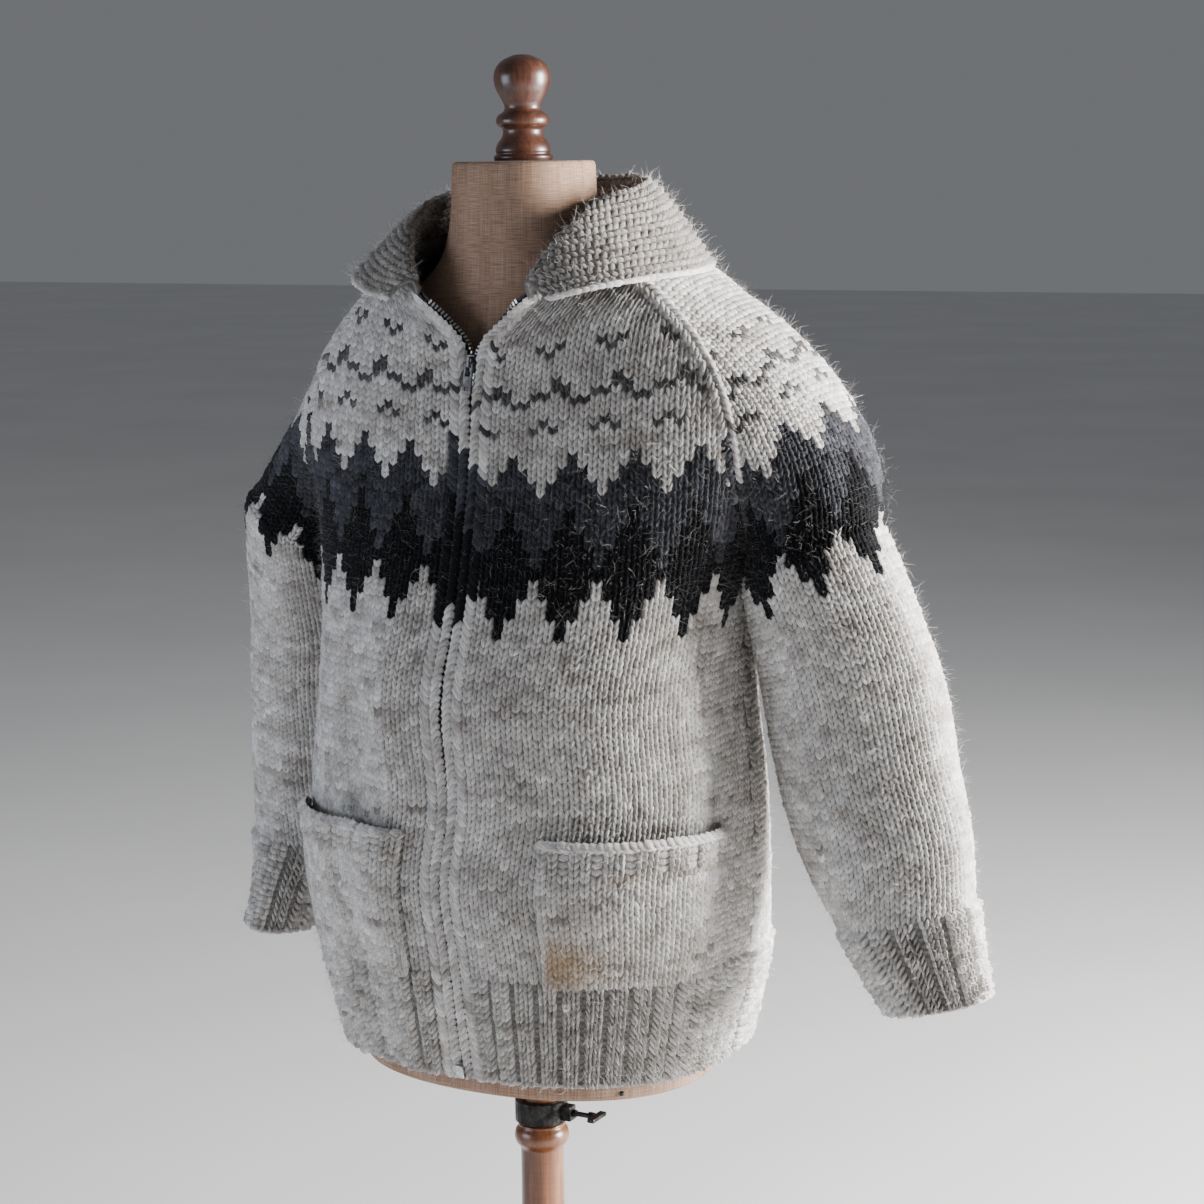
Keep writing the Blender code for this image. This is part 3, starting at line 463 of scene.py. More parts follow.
# ---------------------------------------------------------------- panels
def even_levels(surface, low, high, pitch, samples=160):
    """Levels spaced one course apart, measured half way between a piece's edge and middle."""
    levels = np.linspace(low, high, samples)
    points = np.array([[surface(across, level) for across in (0.3, 0.5, 0.7)] for level in levels])
    steps = np.linalg.norm(np.diff(points, axis=0), axis=2).mean(axis=1)
    lengths = np.concatenate([[0], np.cumsum(steps)])
    count = int(round(lengths[-1] / pitch))
    return np.interp(np.linspace(0, lengths[-1], count + 1), lengths, levels)


class Panel:
    """A piece's surface by course and by distance along the course."""

    def __init__(self, grid, origin, sign, spread=0.012):
        self.grid = np.asarray(grid, float)
        self.sign = sign
        gaps = np.linalg.norm(np.diff(self.grid, axis=1), axis=2)
        lengths = np.concatenate([np.zeros((len(self.grid), 1)), np.cumsum(gaps, axis=1)], axis=1)
        lengths -= lengths[:, [origin]]
        self.lengths = lengths
        self.low = lengths[:, 0]
        self.high = lengths[:, -1]
        self.start = self.low.min() - spread
        self.pitch = 0.002
        count = int(math.ceil((self.high.max() + spread - self.start) / self.pitch)) + 1
        places = self.start + self.pitch * np.arange(count)
        self.points = np.zeros((len(self.grid), count, 3))
        for row in range(len(self.grid)):
            for axis in range(3):
                line = np.interp(places, lengths[row], self.grid[row, :, axis])
                for end, inner, beyond in ((0, 1, places < lengths[row, 0]),
                                           (-1, -2, places > lengths[row, -1])):
                    span = lengths[row, end] - lengths[row, inner]
                    slope = (self.grid[row, end, axis] - self.grid[row, inner, axis]) / span
                    past = self.grid[row, end, axis] + slope * (places - lengths[row, end])
                    line = np.where(beyond, past, line)
                self.points[row, :, axis] = line
        along = np.gradient(self.points, axis=1)
        up = np.gradient(self.points, axis=0)
        normal = np.cross(along, up) * sign
        normal /= np.maximum(np.linalg.norm(normal, axis=2, keepdims=True), 1e-12)
        self.normals = normal
        self.along = along / np.maximum(np.linalg.norm(along, axis=2, keepdims=True), 1e-12)

    def look(self, table, row, place):
        """Bilinear reading of a table of the panel at (row, place along the row)."""
        row = np.asarray(row, float)
        across = (np.asarray(place, float) - self.start) / self.pitch
        across = np.clip(across, 0, table.shape[1] - 1.001)
        inside = np.clip(row, 0, len(table) - 1.001)
        low_row = inside.astype(int)
        low_col = across.astype(int)
        share_row = (inside - low_row)[..., None]
        share_col = (across - low_col)[..., None]
        value = ((table[low_row, low_col] * (1 - share_col)
                  + table[low_row, low_col + 1] * share_col) * (1 - share_row)
                 + (table[low_row + 1, low_col] * (1 - share_col)
                    + table[low_row + 1, low_col + 1] * share_col) * share_row)
        return value

    def point(self, row, place):
        row = np.asarray(row, float)
        value = self.look(self.points, row, place)
        over = row - np.clip(row, 0, len(self.points) - 1.001)
        if np.any(over):
            inner = self.look(self.points, np.where(over > 0, len(self.points) - 2.0, 1.0), place)
            edge = self.look(self.points, np.where(over > 0, len(self.points) - 1.001, 0.0), place)
            value = value + (edge - inner) * np.abs(over)[..., None]
        return value

    def normal(self, row, place):
        value = self.look(self.normals, row, place)
        return value / np.maximum(np.linalg.norm(value, axis=-1, keepdims=True), 1e-12)

    def sideways(self, row, place):
        value = self.look(self.along, row, place)
        return value / np.maximum(np.linalg.norm(value, axis=-1, keepdims=True), 1e-12)

    def ends(self, row):
        whole = np.clip(row, 0, len(self.low) - 1)
        return (np.interp(whole, np.arange(len(self.low)), self.low),
                np.interp(whole, np.arange(len(self.high)), self.high))


def make_panel(surface, columns, origin, sign, pitch=COURSE):
    levels = np.concatenate([even_levels(surface, 0, 1, pitch), even_levels(surface, 1, 2, pitch)[1:]])
    shares = np.linspace(0, 1, columns + 1)
    grid = [[surface(share, level) for share in shares] for level in levels]
    panel = Panel(grid, origin, sign)
    panel.levels = levels
    return panel


# ---------------------------------------------------------------- chart
CHART_BLACK = 11         # first grey course above the tips
CHART_GREY = 22          # first oatmeal course
ZIGZAG = {0: (0,), 1: (0,), 2: (1,), 3: (1,), 4: (2, 3), 5: (1, 2)}


def chart(row, column):
    """0 oatmeal, 1 black, 2 charcoal grey, 3 motif; column 0 is a spear's middle."""
    column %= 6
    from_spear = min(column, 6 - column)
    from_gap = 3 - from_spear
    if row < 0:
        return 0
    if row < 9:
        return 1 if from_spear <= row // 3 else 0
    if row < CHART_BLACK:
        return 1
    if row < 20:
        return 2 if from_gap <= (row - CHART_BLACK) // 3 else 1
    if row < CHART_GREY:
        return 2
    if row < 28:
        return 0 if from_gap <= (row - CHART_GREY) // 2 else 2
    if row == 31:
        return 3 if from_gap == 1 else 0
    if row == 32:
        return 3 if from_gap == 0 else 0
    if 35 <= row <= 38:
        return 3 if row - 35 in ZIGZAG[column] else 0
    if row == 42:
        return 3 if from_gap == 0 else 0
    if row == 43:
        return 3 if from_gap == 1 else 0
    return 0


def smooth_run(count, reach):
    """Random numbers about 0, alike for neighbours within the reach."""
    loose = random.normal(0.0, 1.0, count + 2 * reach)
    kernel = np.hanning(2 * reach + 1)
    kernel /= math.sqrt((kernel ** 2).sum())
    return np.convolve(loose, kernel, "valid")[:count]


def heather(count, tint=1.0):
    """Oatmeal yarn colours along a course: pale and brown lengths, several stitches long."""
    pale = np.clip(0.20 * smooth_run(count, 4) + random.normal(0.0, 0.26, count), 0, 1)[:, None]
    brown = np.clip(0.24 * smooth_run(count, 5) + random.normal(-0.12, 0.28, count), 0, 1)[:, None]
    colour = OATMEAL * (1 - pale) + PALE * pale
    colour = colour * (1 - brown) + BROWN * brown
    # A tint below 1 darkens the whole colour; the sunken purls and the collar use it as painted shade.
    return colour * random.normal(1.0, 0.085, count)[:, None] * tint


def yarn_colours(codes):
    """The colour of each stitch, from its code in the chart."""
    count = len(codes)
    colour = heather(count)
    shade = random.normal(1.0, 0.16, count)[:, None]
    for code, dye, vary in ((1, BLACK, 1.0), (2, GREY, 1.6), (3, MOTIF, 1.2)):
        colour = np.where((codes == code)[:, None], dye * (1 + (shade - 1) * vary), colour)
    return np.clip(colour, 0.002, 0.9)


# ---------------------------------------------------------------- yarn meshes
class Yarn:
    """Collects legs of yarn: eight points and eight triangles each."""

    FACES = ((0, 2, 1), (0, 3, 2), (1, 2, 5, 4), (2, 3, 6, 5), (4, 5, 7), (5, 6, 7))
    ALONG = (0.0, 0.28, 0.28, 0.28, 0.72, 0.72, 0.72, 1.0)
    ACROSS = (0.5, 0.0, 0.5, 1.0, 0.0, 0.5, 1.0, 0.5)

    def __init__(self):
        self.parts = []

    def add(self, start, end, side, normal, rise, colour, flip, low=0.0, ends=(0.0004, 0.0007)):
        """side is the half-width vector; rise is each leg's height."""
        rise = np.asarray(rise)[:, None]
        body = end - start
        first = start + body * 0.28
        second = start + body * 0.72
        points = np.stack([
            start + normal * ends[0],
            first - side + normal * low, first + normal * rise, first + side + normal * low,
            second - side + normal * low, second + normal * rise, second + side + normal * low,
            end + normal * ends[1]], axis=1)
        self.parts.append((points, np.asarray(colour), flip))

    def build(self, name, material, body="form"):
        points = np.concatenate([part[0] for part in self.parts])
        colours = np.concatenate([part[1] for part in self.parts])
        flips = np.concatenate([np.full(len(part[0]), part[2]) for part in self.parts])
        count = len(points)
        sizes = np.array([len(face) for face in self.FACES])
        forward = np.concatenate([np.array(face) for face in self.FACES])
        backward = np.concatenate([np.array(face[::-1]) for face in self.FACES])
        loops = np.where(flips[:, None], backward[None, :], forward[None, :])
        uv = np.stack([np.array(self.ALONG)[loops], np.array(self.ACROSS)[loops]], axis=2)
        uv = uv + random.uniform(0, 50, (count, 1, 2))
        loops = loops + 8 * np.arange(count)[:, None]
        mesh = bpy.data.meshes.new(name)
        mesh.vertices.add(count * 8)
        mesh.vertices.foreach_set("co", points.reshape(-1))
        mesh.loops.add(loops.size)
        mesh.loops.foreach_set("vertex_index", loops.reshape(-1))
        mesh.polygons.add(count * len(sizes))
        totals = np.tile(sizes, count)
        mesh.polygons.foreach_set("loop_start", np.concatenate([[0], np.cumsum(totals)[:-1]]))
        mesh.polygons.foreach_set("loop_total", totals)
        mesh.update(calc_edges=True)
        mesh.shade_smooth()
        layer = mesh.uv_layers.new(name="strand")
        layer.data.foreach_set("uv", uv.reshape(-1))
        paint(mesh, np.repeat(colours, 8, axis=0))
        return show(name, mesh, material, body)


def paint(mesh, colours):
    """Give each vertex its colour, where the wool materials read it."""
    attribute = mesh.color_attributes.new(name="yarn", type="FLOAT_COLOR", domain="POINT")
    full = np.ones((len(colours), 4))
    full[:, :3] = colours
    attribute.data.foreach_set("color", full.reshape(-1))


def show(name, mesh, material, body, smooth=True):
    """Put a mesh in the scene, on the body it moves with."""
    item = bpy.data.objects.new(name, mesh)
    item.data.materials.append(material)
    bpy.context.scene.collection.objects.link(item)
    if smooth:
        mesh.shade_smooth()
    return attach(item, body)


def mesh_from(points, faces, name):
    """A mesh from lists of points and faces."""
    mesh = bpy.data.meshes.new(name)
    mesh.from_pydata([tuple(point) for point in points], [], [tuple(face) for face in faces])
    mesh.update()
    return mesh


def grid_normals(grid, sign):
    """Unit normals of a grid of points; sign turns them outward."""
    normals = np.cross(np.gradient(grid, axis=1), np.gradient(grid, axis=0)) * sign
    return normals / np.maximum(np.linalg.norm(normals, axis=2, keepdims=True), 1e-12)


def shell(name, panel, colours, material, thick=BASE_IN, outer=BASE_OUT):
    """A thin closed shell on a panel's own grid, coloured point by point."""
    grid = panel.grid
    rows, columns = grid.shape[:2]
    normals = grid_normals(grid, panel.sign)
    points = np.concatenate([(grid + normals * outer).reshape(-1, 3),
                             (grid - normals * thick).reshape(-1, 3)])
    index = np.arange(rows * columns).reshape(rows, columns)
    corners = [index[:-1, :-1], index[:-1, 1:], index[1:, 1:], index[1:, :-1]]
    quads = np.stack([corner.reshape(-1) for corner in corners], axis=1)
    if panel.sign < 0:
        quads = quads[:, ::-1]
    faces = [*map(tuple, quads), *map(tuple, (quads + rows * columns)[:, ::-1])]
    rim = [*index[0, :], *index[1:, -1], *index[-1, -2::-1], *index[-2:0:-1, 0]]
    for start, end in zip(rim, rim[1:] + rim[:1]):
        face = (end, start, start + rows * columns, end + rows * columns)
        faces.append(face[::-1] if panel.sign < 0 else face)
    mesh = mesh_from(points, faces, name)
    paint(mesh, np.tile(colours.reshape(-1, 3), (2, 1)))
    return show(name, mesh, material, "form")


# ---------------------------------------------------------------- materials
def node_material(name):
    """A new material, its tree and its main shader."""
    material = bpy.data.materials.new(name)
    material.use_nodes = True
    tree = material.node_tree
    shader = tree.nodes["Principled BSDF"]
    return material, tree, shader


def add_node(tree, kind, **inputs):
    """A node with its inputs, or its own settings, by name."""
    node = tree.nodes.new(kind)
    for key, value in inputs.items():
        name = key.replace("_", " ")
        if name in node.inputs:
            node.inputs[name].default_value = value
        else:
            setattr(node, key, value)
    return node


def noise(tree, coordinates, scale, stretch=(1, 1, 1), detail=3.0, roughness=0.55):
    """Noise that can be stretched along each axis."""
    mapping = add_node(tree, "ShaderNodeMapping")
    mapping.inputs["Scale"].default_value = stretch
    tree.links.new(coordinates, mapping.inputs["Vector"])
    texture = add_node(tree, "ShaderNodeTexNoise", Scale=scale, Detail=detail, Roughness=roughness)
    tree.links.new(mapping.outputs["Vector"], texture.inputs["Vector"])
    return texture.outputs["Fac"]


def ramp(tree, value, stops):
    """A value turned into a colour by stops of (place, colour)."""
    node = tree.nodes.new("ShaderNodeValToRGB")
    elements = node.color_ramp.elements
    while len(elements) < len(stops):
        elements.new(0.5)
    for element, (place, colour) in zip(elements, stops):
        element.position = place
        element.color = (*colour, 1.0)
    tree.links.new(value, node.inputs["Fac"])
    return node.outputs["Color"]


def mix_colour(tree, factor, first, second, mode="MIX"):
    """Two colours mixed or multiplied."""
    node = tree.nodes.new("ShaderNodeMix")
    node.data_type = "RGBA"
    node.blend_type = mode
    for socket, value in ((node.inputs[0], factor), (node.inputs[6], first), (node.inputs[7], second)):
        if isinstance(value, bpy.types.NodeSocket):
            tree.links.new(value, socket)
        else:
            socket.default_value = value if isinstance(value, float) else (*value, 1.0)
    return node.outputs[2]


def bump(tree, shader, height, strength, distance, after=None):
    """Relief on a shader, on top of an earlier relief if there is one."""
    node = add_node(tree, "ShaderNodeBump", Strength=strength, Distance=distance)
    tree.links.new(height, node.inputs["Height"])
    if after is not None:
        tree.links.new(after, node.inputs["Normal"])
    tree.links.new(node.outputs["Normal"], shader.inputs["Normal"])
    return node.outputs["Normal"]


def grey(value):
    """A neutral colour."""
    return (value, value, value)


def object_place(tree):
    """Where a point is, in the piece's own metres."""
    return tree.nodes.new("ShaderNodeTexCoord").outputs["Object"]


def finish(shader, **looks):
    """Set a shader's plain inputs by name."""
    for key, value in looks.items():
        shader.inputs[key.replace("_", " ")].default_value = value


def wool_material(name, on_strands):
    """Marled wool: its colour is the stitch's, broken up along the fibres."""
    material, tree, shader = node_material(name)
    where = object_place(tree)
    attribute = add_node(tree, "ShaderNodeVertexColor", layer_name="yarn")
    if on_strands:
        strand = add_node(tree, "ShaderNodeUVMap", uv_map="strand")
        fibres = noise(tree, strand.outputs["UV"], 1.0, (1.6, 9.0, 1.0), 4.0, 0.7)
    else:
        fibres = noise(tree, where, 900.0, (1, 1, 0.35), 3.0, 0.7)
    patches = noise(tree, where, 38.0, (1, 1, 1.6), 3.0, 0.6)
    fine = noise(tree, where, 1500.0, (1, 1, 1), 2.0, 0.6)
    streak = ramp(tree, fibres, ((0.30, grey(0.50)), (0.50, grey(0.98)), (0.72, grey(1.50))))
    colour = mix_colour(tree, 1.0, attribute.outputs["Color"], streak, "MULTIPLY")
    cloud = ramp(tree, patches, ((0.30, (0.76, 0.72, 0.69)), (0.50, grey(1.0)), (0.72, grey(1.16))))
    colour = mix_colour(tree, 1.0, colour, cloud, "MULTIPLY")
    tree.links.new(colour, shader.inputs["Base Color"])
    finish(shader, Roughness=1.0, Specular_IOR_Level=0.05, Sheen_Weight=0.10, Sheen_Roughness=0.6)
    first = bump(tree, shader, fibres, 0.55, 0.0006)
    bump(tree, shader, fine, 0.35, 0.0004, first)
    return material


def hair_material():
    material, tree, shader = node_material("wool_fuzz")
    attribute = add_node(tree, "ShaderNodeVertexColor", layer_name="yarn")
    where = object_place(tree)
    vary = ramp(tree, noise(tree, where, 300.0),
                ((0.3, grey(0.75)), (0.7, grey(1.2))))
    tree.links.new(mix_colour(tree, 1.0, attribute.outputs["Color"], vary, "MULTIPLY"),
                   shader.inputs["Base Color"])
    finish(shader, Roughness=0.8, Specular_IOR_Level=0.2, Alpha=0.75)
    return material


def linen_material():
    material, tree, shader = node_material("form_linen")
    place = add_node(tree, "ShaderNodeUVMap", uv_map="weave")
    warp = noise(tree, place.outputs["UV"], 1.0, (1500, 26, 1), 2.0)
    weft = noise(tree, place.outputs["UV"], 1.0, (26, 1500, 1), 2.0)
    soil = noise(tree, place.outputs["UV"], 1.0, (16, 12, 1), 4.0, 0.6)
    threads = mix_colour(tree, 0.5, warp, weft)
    colour = ramp(tree, threads, ((0.40, (0.200, 0.120, 0.082)), (0.50, (0.300, 0.195, 0.142)),
                                  (0.60, (0.390, 0.270, 0.200))))
    aged = ramp(tree, soil, ((0.30, (0.80, 0.74, 0.68)), (0.60, grey(1.0)), (0.80, grey(1.08))))
    tree.links.new(mix_colour(tree, 1.0, colour, aged, "MULTIPLY"), shader.inputs["Base Color"])
    finish(shader, Roughness=0.9, Specular_IOR_Level=0.15)
    bump(tree, shader, threads, 0.35, 0.0006)
    return material


def wood_material(name, dark, middle, light, gloss, along=(1.0, 1.0, 0.10)):
    material, tree, shader = node_material(name)
    where = object_place(tree)
    grain = noise(tree, where, 42.0, along, 5.0, 0.62)
    pores = noise(tree, where, 620.0, (1.0, 1.0, 0.05), 2.0)
    turned_lines = noise(tree, where, 260.0, (0.02, 0.02, 1.0), 2.0)
    colour = ramp(tree, grain, ((0.32, dark), (0.50, middle), (0.68, light)))
    flecks = ramp(tree, pores, ((0.34, grey(0.62)), (0.50, grey(1.0)), (0.80, grey(1.08))))
    lines = ramp(tree, turned_lines, ((0.30, grey(0.86)), (0.60, grey(1.05))))
    colour = mix_colour(tree, 1.0, colour, flecks, "MULTIPLY")
    colour = mix_colour(tree, 1.0, colour, lines, "MULTIPLY")
    tree.links.new(colour, shader.inputs["Base Color"])
    tree.links.new(ramp(tree, grain, ((0.3, grey(gloss)), (0.7, grey(gloss + 0.14)))),
                   shader.inputs["Roughness"])
    finish(shader, Coat_Weight=0.35, Coat_Roughness=0.22)
    bump(tree, shader, turned_lines, 0.12, 0.0005)
    return material


def metal_material(name, dark, light, rough, metallic=1.0, wear=90.0):
    material, tree, shader = node_material(name)
    where = object_place(tree)
    worn = noise(tree, where, wear, (1, 1, 1), 5.0, 0.65)
    scratches = noise(tree, where, 900.0, (1, 1, 0.2), 2.0)
    tree.links.new(ramp(tree, worn, ((0.36, dark), (0.66, light))), shader.inputs["Base Color"])
    tree.links.new(ramp(tree, worn, ((0.3, grey(rough + 0.18)), (0.7, grey(rough)))),
                   shader.inputs["Roughness"])
    finish(shader, Metallic=metallic)
    bump(tree, shader, scratches, 0.15, 0.0003)
    return material


def tape_material():
    material, tree, shader = node_material("zip_tape_weave")
    where = object_place(tree)
    ribs = noise(tree, where, 700.0, (0.2, 0.2, 1.0), 2.0)
    tree.links.new(ramp(tree, ribs, ((0.35, (0.020, 0.020, 0.024)), (0.65, (0.075, 0.072, 0.072)))),
                   shader.inputs["Base Color"])
    finish(shader, Roughness=0.9)
    bump(tree, shader, ribs, 0.4, 0.0004)
    return material


def floor_material():
    material, tree, shader = node_material("studio_floor")
    where = object_place(tree)
    soft = noise(tree, where, 1.2)
    tree.links.new(ramp(tree, soft, ((0.3, grey(0.70)), (0.7, grey(0.76)))), shader.inputs["Base Color"])
    finish(shader, Roughness=0.85)
    return material


wool = wool_material("wool_yarn", True)
wool_base = wool_material("wool_ground", False)
fuzz = hair_material()
linen = linen_material()
post_wood = wood_material("post_wood", (0.060, 0.018, 0.007), (0.170, 0.058, 0.020), (0.290, 0.115, 0.042),
                          0.26)
base_wood = wood_material("base_wood", (0.060, 0.018, 0.007), (0.150, 0.050, 0.018), (0.240, 0.090, 0.034),
                          0.30, (0.06, 1.0, 1.0))
dark_wood = wood_material("finial_wood", (0.018, 0.007, 0.005), (0.060, 0.020, 0.011), (0.125, 0.045, 0.022),
                          0.28)
iron = metal_material("black_iron", (0.008, 0.008, 0.009), (0.055, 0.052, 0.050), 0.36)
dark_tin = metal_material("zip_tin", (0.060, 0.058, 0.060), (0.200, 0.195, 0.190), 0.34)
bright_tin = metal_material("zip_teeth_tin", (0.300, 0.295, 0.290), (0.720, 0.715, 0.700), 0.26)
tape_cloth = tape_material()


# ---------------------------------------------------------------- panels of the garment
def front(side):
    name = "front_left" if side > 0 else "front_right"
    return make_panel(lambda across, level: front_surface(name, side, across, level), 40, 0, side)


def sleeve(side):
    name = "sleeve_left" if side > 0 else "sleeve_right"
    return make_panel(lambda across, level: sleeve_surface(name, side, across, level), 48, 24, side)


panels = {
    "front_left": front(1),
    "front_right": front(-1),
    "back": make_panel(back_surface, 60, 30, -1),
    "sleeve_left": sleeve(1),
    "sleeve_right": sleeve(-1),
}


def body_level(z):
    """A body piece's level at a height below the underarm."""
    return (z - HEM_Z) / (UNDERARM_Z - HEM_Z)


SPEARS = {
    # piece: (level of the tips, wale of a spear's middle)
    "front_left": (body_level(0.773), 2),
    "front_right": (body_level(0.784), 4),
    "back": (body_level(0.773), 0),
    "sleeve_left": (0.94, 3),
    "sleeve_right": (0.955, 1),
}
# Level at which each piece's ribbing ends, and where its first wale starts along a course.
RIB_LEVEL = {name: 1 - CUFF_STEP if name.startswith("sleeve") else body_level(RIB_TOP_Z)
             for name in panels}
START = {name: BAND if name.startswith("front") else 0.0 for name in panels}


def first_course(name, level):
    """The course of a piece that lies at a level."""
    levels = panels[name].levels
    return int(round(float(np.interp(level, levels, np.arange(len(levels))))))


def code_at(name, course, wale):
    """The chart's yarn for one stitch of a piece."""
    tip = first_course(name, SPEARS[name][0])
    return chart(course - tip, wale - SPEARS[name][1])


# A base shell's colour under each of the chart's yarns, darkened as painted shade: the recess between
# stitches is drawn dark.
SHADED_GROUND = (OATMEAL * 0.36, BLACK * 0.8, GREY * 0.6, OATMEAL * 0.32)


def shaded_ground_colours(name):
    """Colours of a base shell's points: the chart's, darkened as painted shade between stitches."""
    panel = panels[name]
    rows, columns = panel.grid.shape[:2]
    colours = np.zeros((rows, columns, 3))
    for row in range(rows):
        for column in range(columns):
            wale = math.floor((panel.lengths[row, column] - START[name]) / WALE)
            colours[row, column] = SHADED_GROUND[code_at(name, row, wale)]
    return colours


# How far in from a pocket's sides, foot and mouth the front behind it needs no stitches.
HIDDEN_SIDE = 0.04
HIDDEN_FOOT = 0.012
HIDDEN_MOUTH = 0.028


def in_pocket(name, panel, rows, places):
    """True well inside the part of a front that its pocket hides."""
    if name not in POCKET_ACROSS:
        return np.zeros(len(rows), bool)
    low_share, high_share = POCKET_ACROSS[name]
    low, high = panel.ends(rows)
    share = (places - low) / (high - low)
    level = np.interp(rows, np.arange(len(panel.levels)), panel.levels)
    z = HEM_Z + (UNDERARM_Z - HEM_Z) * level
    return ((share > low_share + HIDDEN_SIDE) & (share < high_share - HIDDEN_SIDE)
            & (z > RIB_TOP_Z + HIDDEN_FOOT) & (z < POCKET_TOP_Z - HIDDEN_MOUTH))


def lay_stitches(yarn, panel, rows, places, codes, width, rise=STITCH_RISE, colours=None):
    """Two legs for each stitch, as a V that opens upwards."""
    rows = np.asarray(rows, float)
    places = np.asarray(places, float)
    count = len(rows)
    rows = rows + random.normal(0, 0.05, count)
    places = places + random.normal(0, 0.00018, count)
    normal = panel.normal(rows + 0.5, places)
    sideways = panel.sideways(rows + 0.5, places)
    size = random.normal(1.0, 0.07, count)
    if colours is None:
        colours = yarn_colours(codes)
    for hand in (-1, 1):
        lean = random.normal(1.0, 0.09, count)
        start = panel.point(rows + LEG_FOOT[0], places + hand * LEG_FOOT[1] * width)
        end = panel.point(rows + LEG_HEAD[0], places + hand * LEG_HEAD[1] * width * lean)
        half = sideways * (LEG_HALF * width * size)[:, None]
        yarn.add(start, end, half, normal, rise * size * random.normal(1.0, 0.08, count),
                 np.clip(colours * random.normal(1.0, 0.06, count)[:, None], 0.002, 0.95),
                 panel.sign < 0)


def stockinette(name, yarn):
    """All stitches of a panel above its ribbing."""
    panel = panels[name]
    rib = first_course(name, RIB_LEVEL[name])
    rows = []
    places = []
    codes = []
    for row in range(rib, len(panel.grid) - 1):
        low = panel.low[row] + (START[name] or SEAM_IN)
        high = panel.high[row] - SEAM_IN
        first = math.ceil((low - START[name]) / WALE - 0.5)
        last = math.floor((high - START[name]) / WALE - 0.5)
        for wale in range(first, last + 1):
            rows.append(row)
            places.append(START[name] + (wale + 0.5) * WALE)
            codes.append(code_at(name, row, wale))
    rows = np.array(rows)
    places = np.array(places)
    codes = np.array(codes)
    keep = ~in_pocket(name, panel, rows, places)
    lay_stitches(yarn, panel, rows[keep], places[keep], codes[keep], WALE)


def lay_purls(yarn, panel, row, places, half_width, reach, rise, shade):
    """One sunken purl stitch at each place of a course; shade darkens its yarn as painted shade in the
    recess.
    """
    here = np.full(len(places), row + 0.5)
    half = panel.sideways(here, places) * half_width
    yarn.add(panel.point(here - reach, places), panel.point(here + reach, places), half,
             panel.normal(here, places), np.full(len(places), rise), heather(len(places), shade),
             panel.sign < 0)


def ribbing(name, yarn):
    """Pairs of raised wales with a sunken purl wale between pairs."""
    panel = panels[name]
    rib = first_course(name, RIB_LEVEL[name])
    lows = panel.low + (START[name] or SEAM_IN)
    highs = panel.high - 0.001
    pairs = round(float((highs - lows)[:rib].mean()) / RIB_REPEAT)
    for row in range(rib):
        low = lows[row]
        repeat = (highs[row] - low) / pairs
        knit = (low + (np.arange(pairs)[:, None] + np.array([RIB_KNIT])) * repeat).reshape(-1)
        lay_stitches(yarn, panel, np.full(len(knit), row), knit, np.zeros(len(knit), int),
                     RIB_WALE * repeat, STITCH_RISE * RIB_RISE)
        lay_purls(yarn, panel, row, low + (np.arange(pairs) + RIB_PURL) * repeat, *HEM_PURL)


def lay_cord(yarn, panel, rows, places, width, rise, pitch, slant, colours=None):
    """Slanted legs laid one after another along a line of a panel, like a cord."""
    points = panel.point(rows, places)
    normals = panel.normal(rows, places)
    steps = np.linalg.norm(np.diff(points, axis=0), axis=1)
    lengths = np.concatenate([[0], np.cumsum(steps)])
    count = max(2, int(lengths[-1] / pitch))
    at = (np.arange(count) + 0.5) * lengths[-1] / count

    def along(table, places):
        return np.stack([np.interp(places, lengths, table[:, axis]) for axis in range(3)], axis=1)

    centre = along(points, at)
    ahead = (along(points, np.clip(at + 0.002, 0, lengths[-1]))
             - along(points, np.clip(at - 0.002, 0, lengths[-1])))
    ahead /= np.linalg.norm(ahead, axis=1, keepdims=True)
    normal = along(normals, at)
    normal /= np.linalg.norm(normal, axis=1, keepdims=True)
    side = np.cross(ahead, normal)
    side /= np.linalg.norm(side, axis=1, keepdims=True)
    reach = pitch * 1.05
    size = random.normal(1.0, 0.07, count)[:, None]
    start = centre - ahead * reach - side * slant * width * 0.30
    end = centre + ahead * reach + side * slant * width * 0.30
    if colours is None:
        colours = heather(count)
    else:
        colours = yarn_colours(np.array([colours(index / count) for index in range(count)]))
    yarn.add(start, end, side * width * 0.5 * size, normal, rise * size[:, 0], colours, False,
             CORD_SUNK, (rise * 0.25, rise * 0.35))


BAND_CORDS = (
    # place, width, rise, slant
    (0.0029, 0.0086, 0.0050, 1),
    (0.0120, 0.0096, 0.0047, -1),
)
BAND_COLUMNS = {"front_left": 1, "front_right": 5}    # chart column of the inner cord


def edge_band(name, yarn):
    """The rolled band up a front's edge: two cords with a furrow between."""
    panel = panels[name]
    rows = np.arange(len(panel.grid)).astype(float)
    tip = first_course(name, SPEARS[name][0])
    first = BAND_COLUMNS[name]
    for number, (place, width, rise, slant) in enumerate(BAND_CORDS):

        def dye(share, column=first + number):
            return chart(int(share * len(rows)) - tip, column)

        lay_cord(yarn, panel, rows, panel.low + place, width, rise, CORD_PITCH, slant, dye)


def raglan_cords(name, yarn, ends):
    """Raised cords along a panel's raglan edges: -1 its low edge, 1 its high edge."""
    panel = panels[name]
    first = first_course(name, 1.0)
    rows = np.arange(first, len(panel.grid)).astype(float)
    tip = first_course(name, SPEARS[name][0])

    def dye(share):
        return chart(int(first + share * len(rows)) - tip, 0)

    for end in ends:
        places = (panel.low + RAGLAN_IN if end < 0 else panel.high - RAGLAN_IN)[first:]
        lay_cord(yarn, panel, rows, places, *RAGLAN_CORD, end, dye)


def cast_on_edge(name, yarn):
    """The rounded edge along a panel's first course."""
    panel = panels[name]
    places = np.linspace(panel.low[0] + 0.001, panel.high[0] - 0.001, 160)
    lay_cord(yarn, panel, np.full(len(places), 0.15), places, *CAST_ON_CORD)


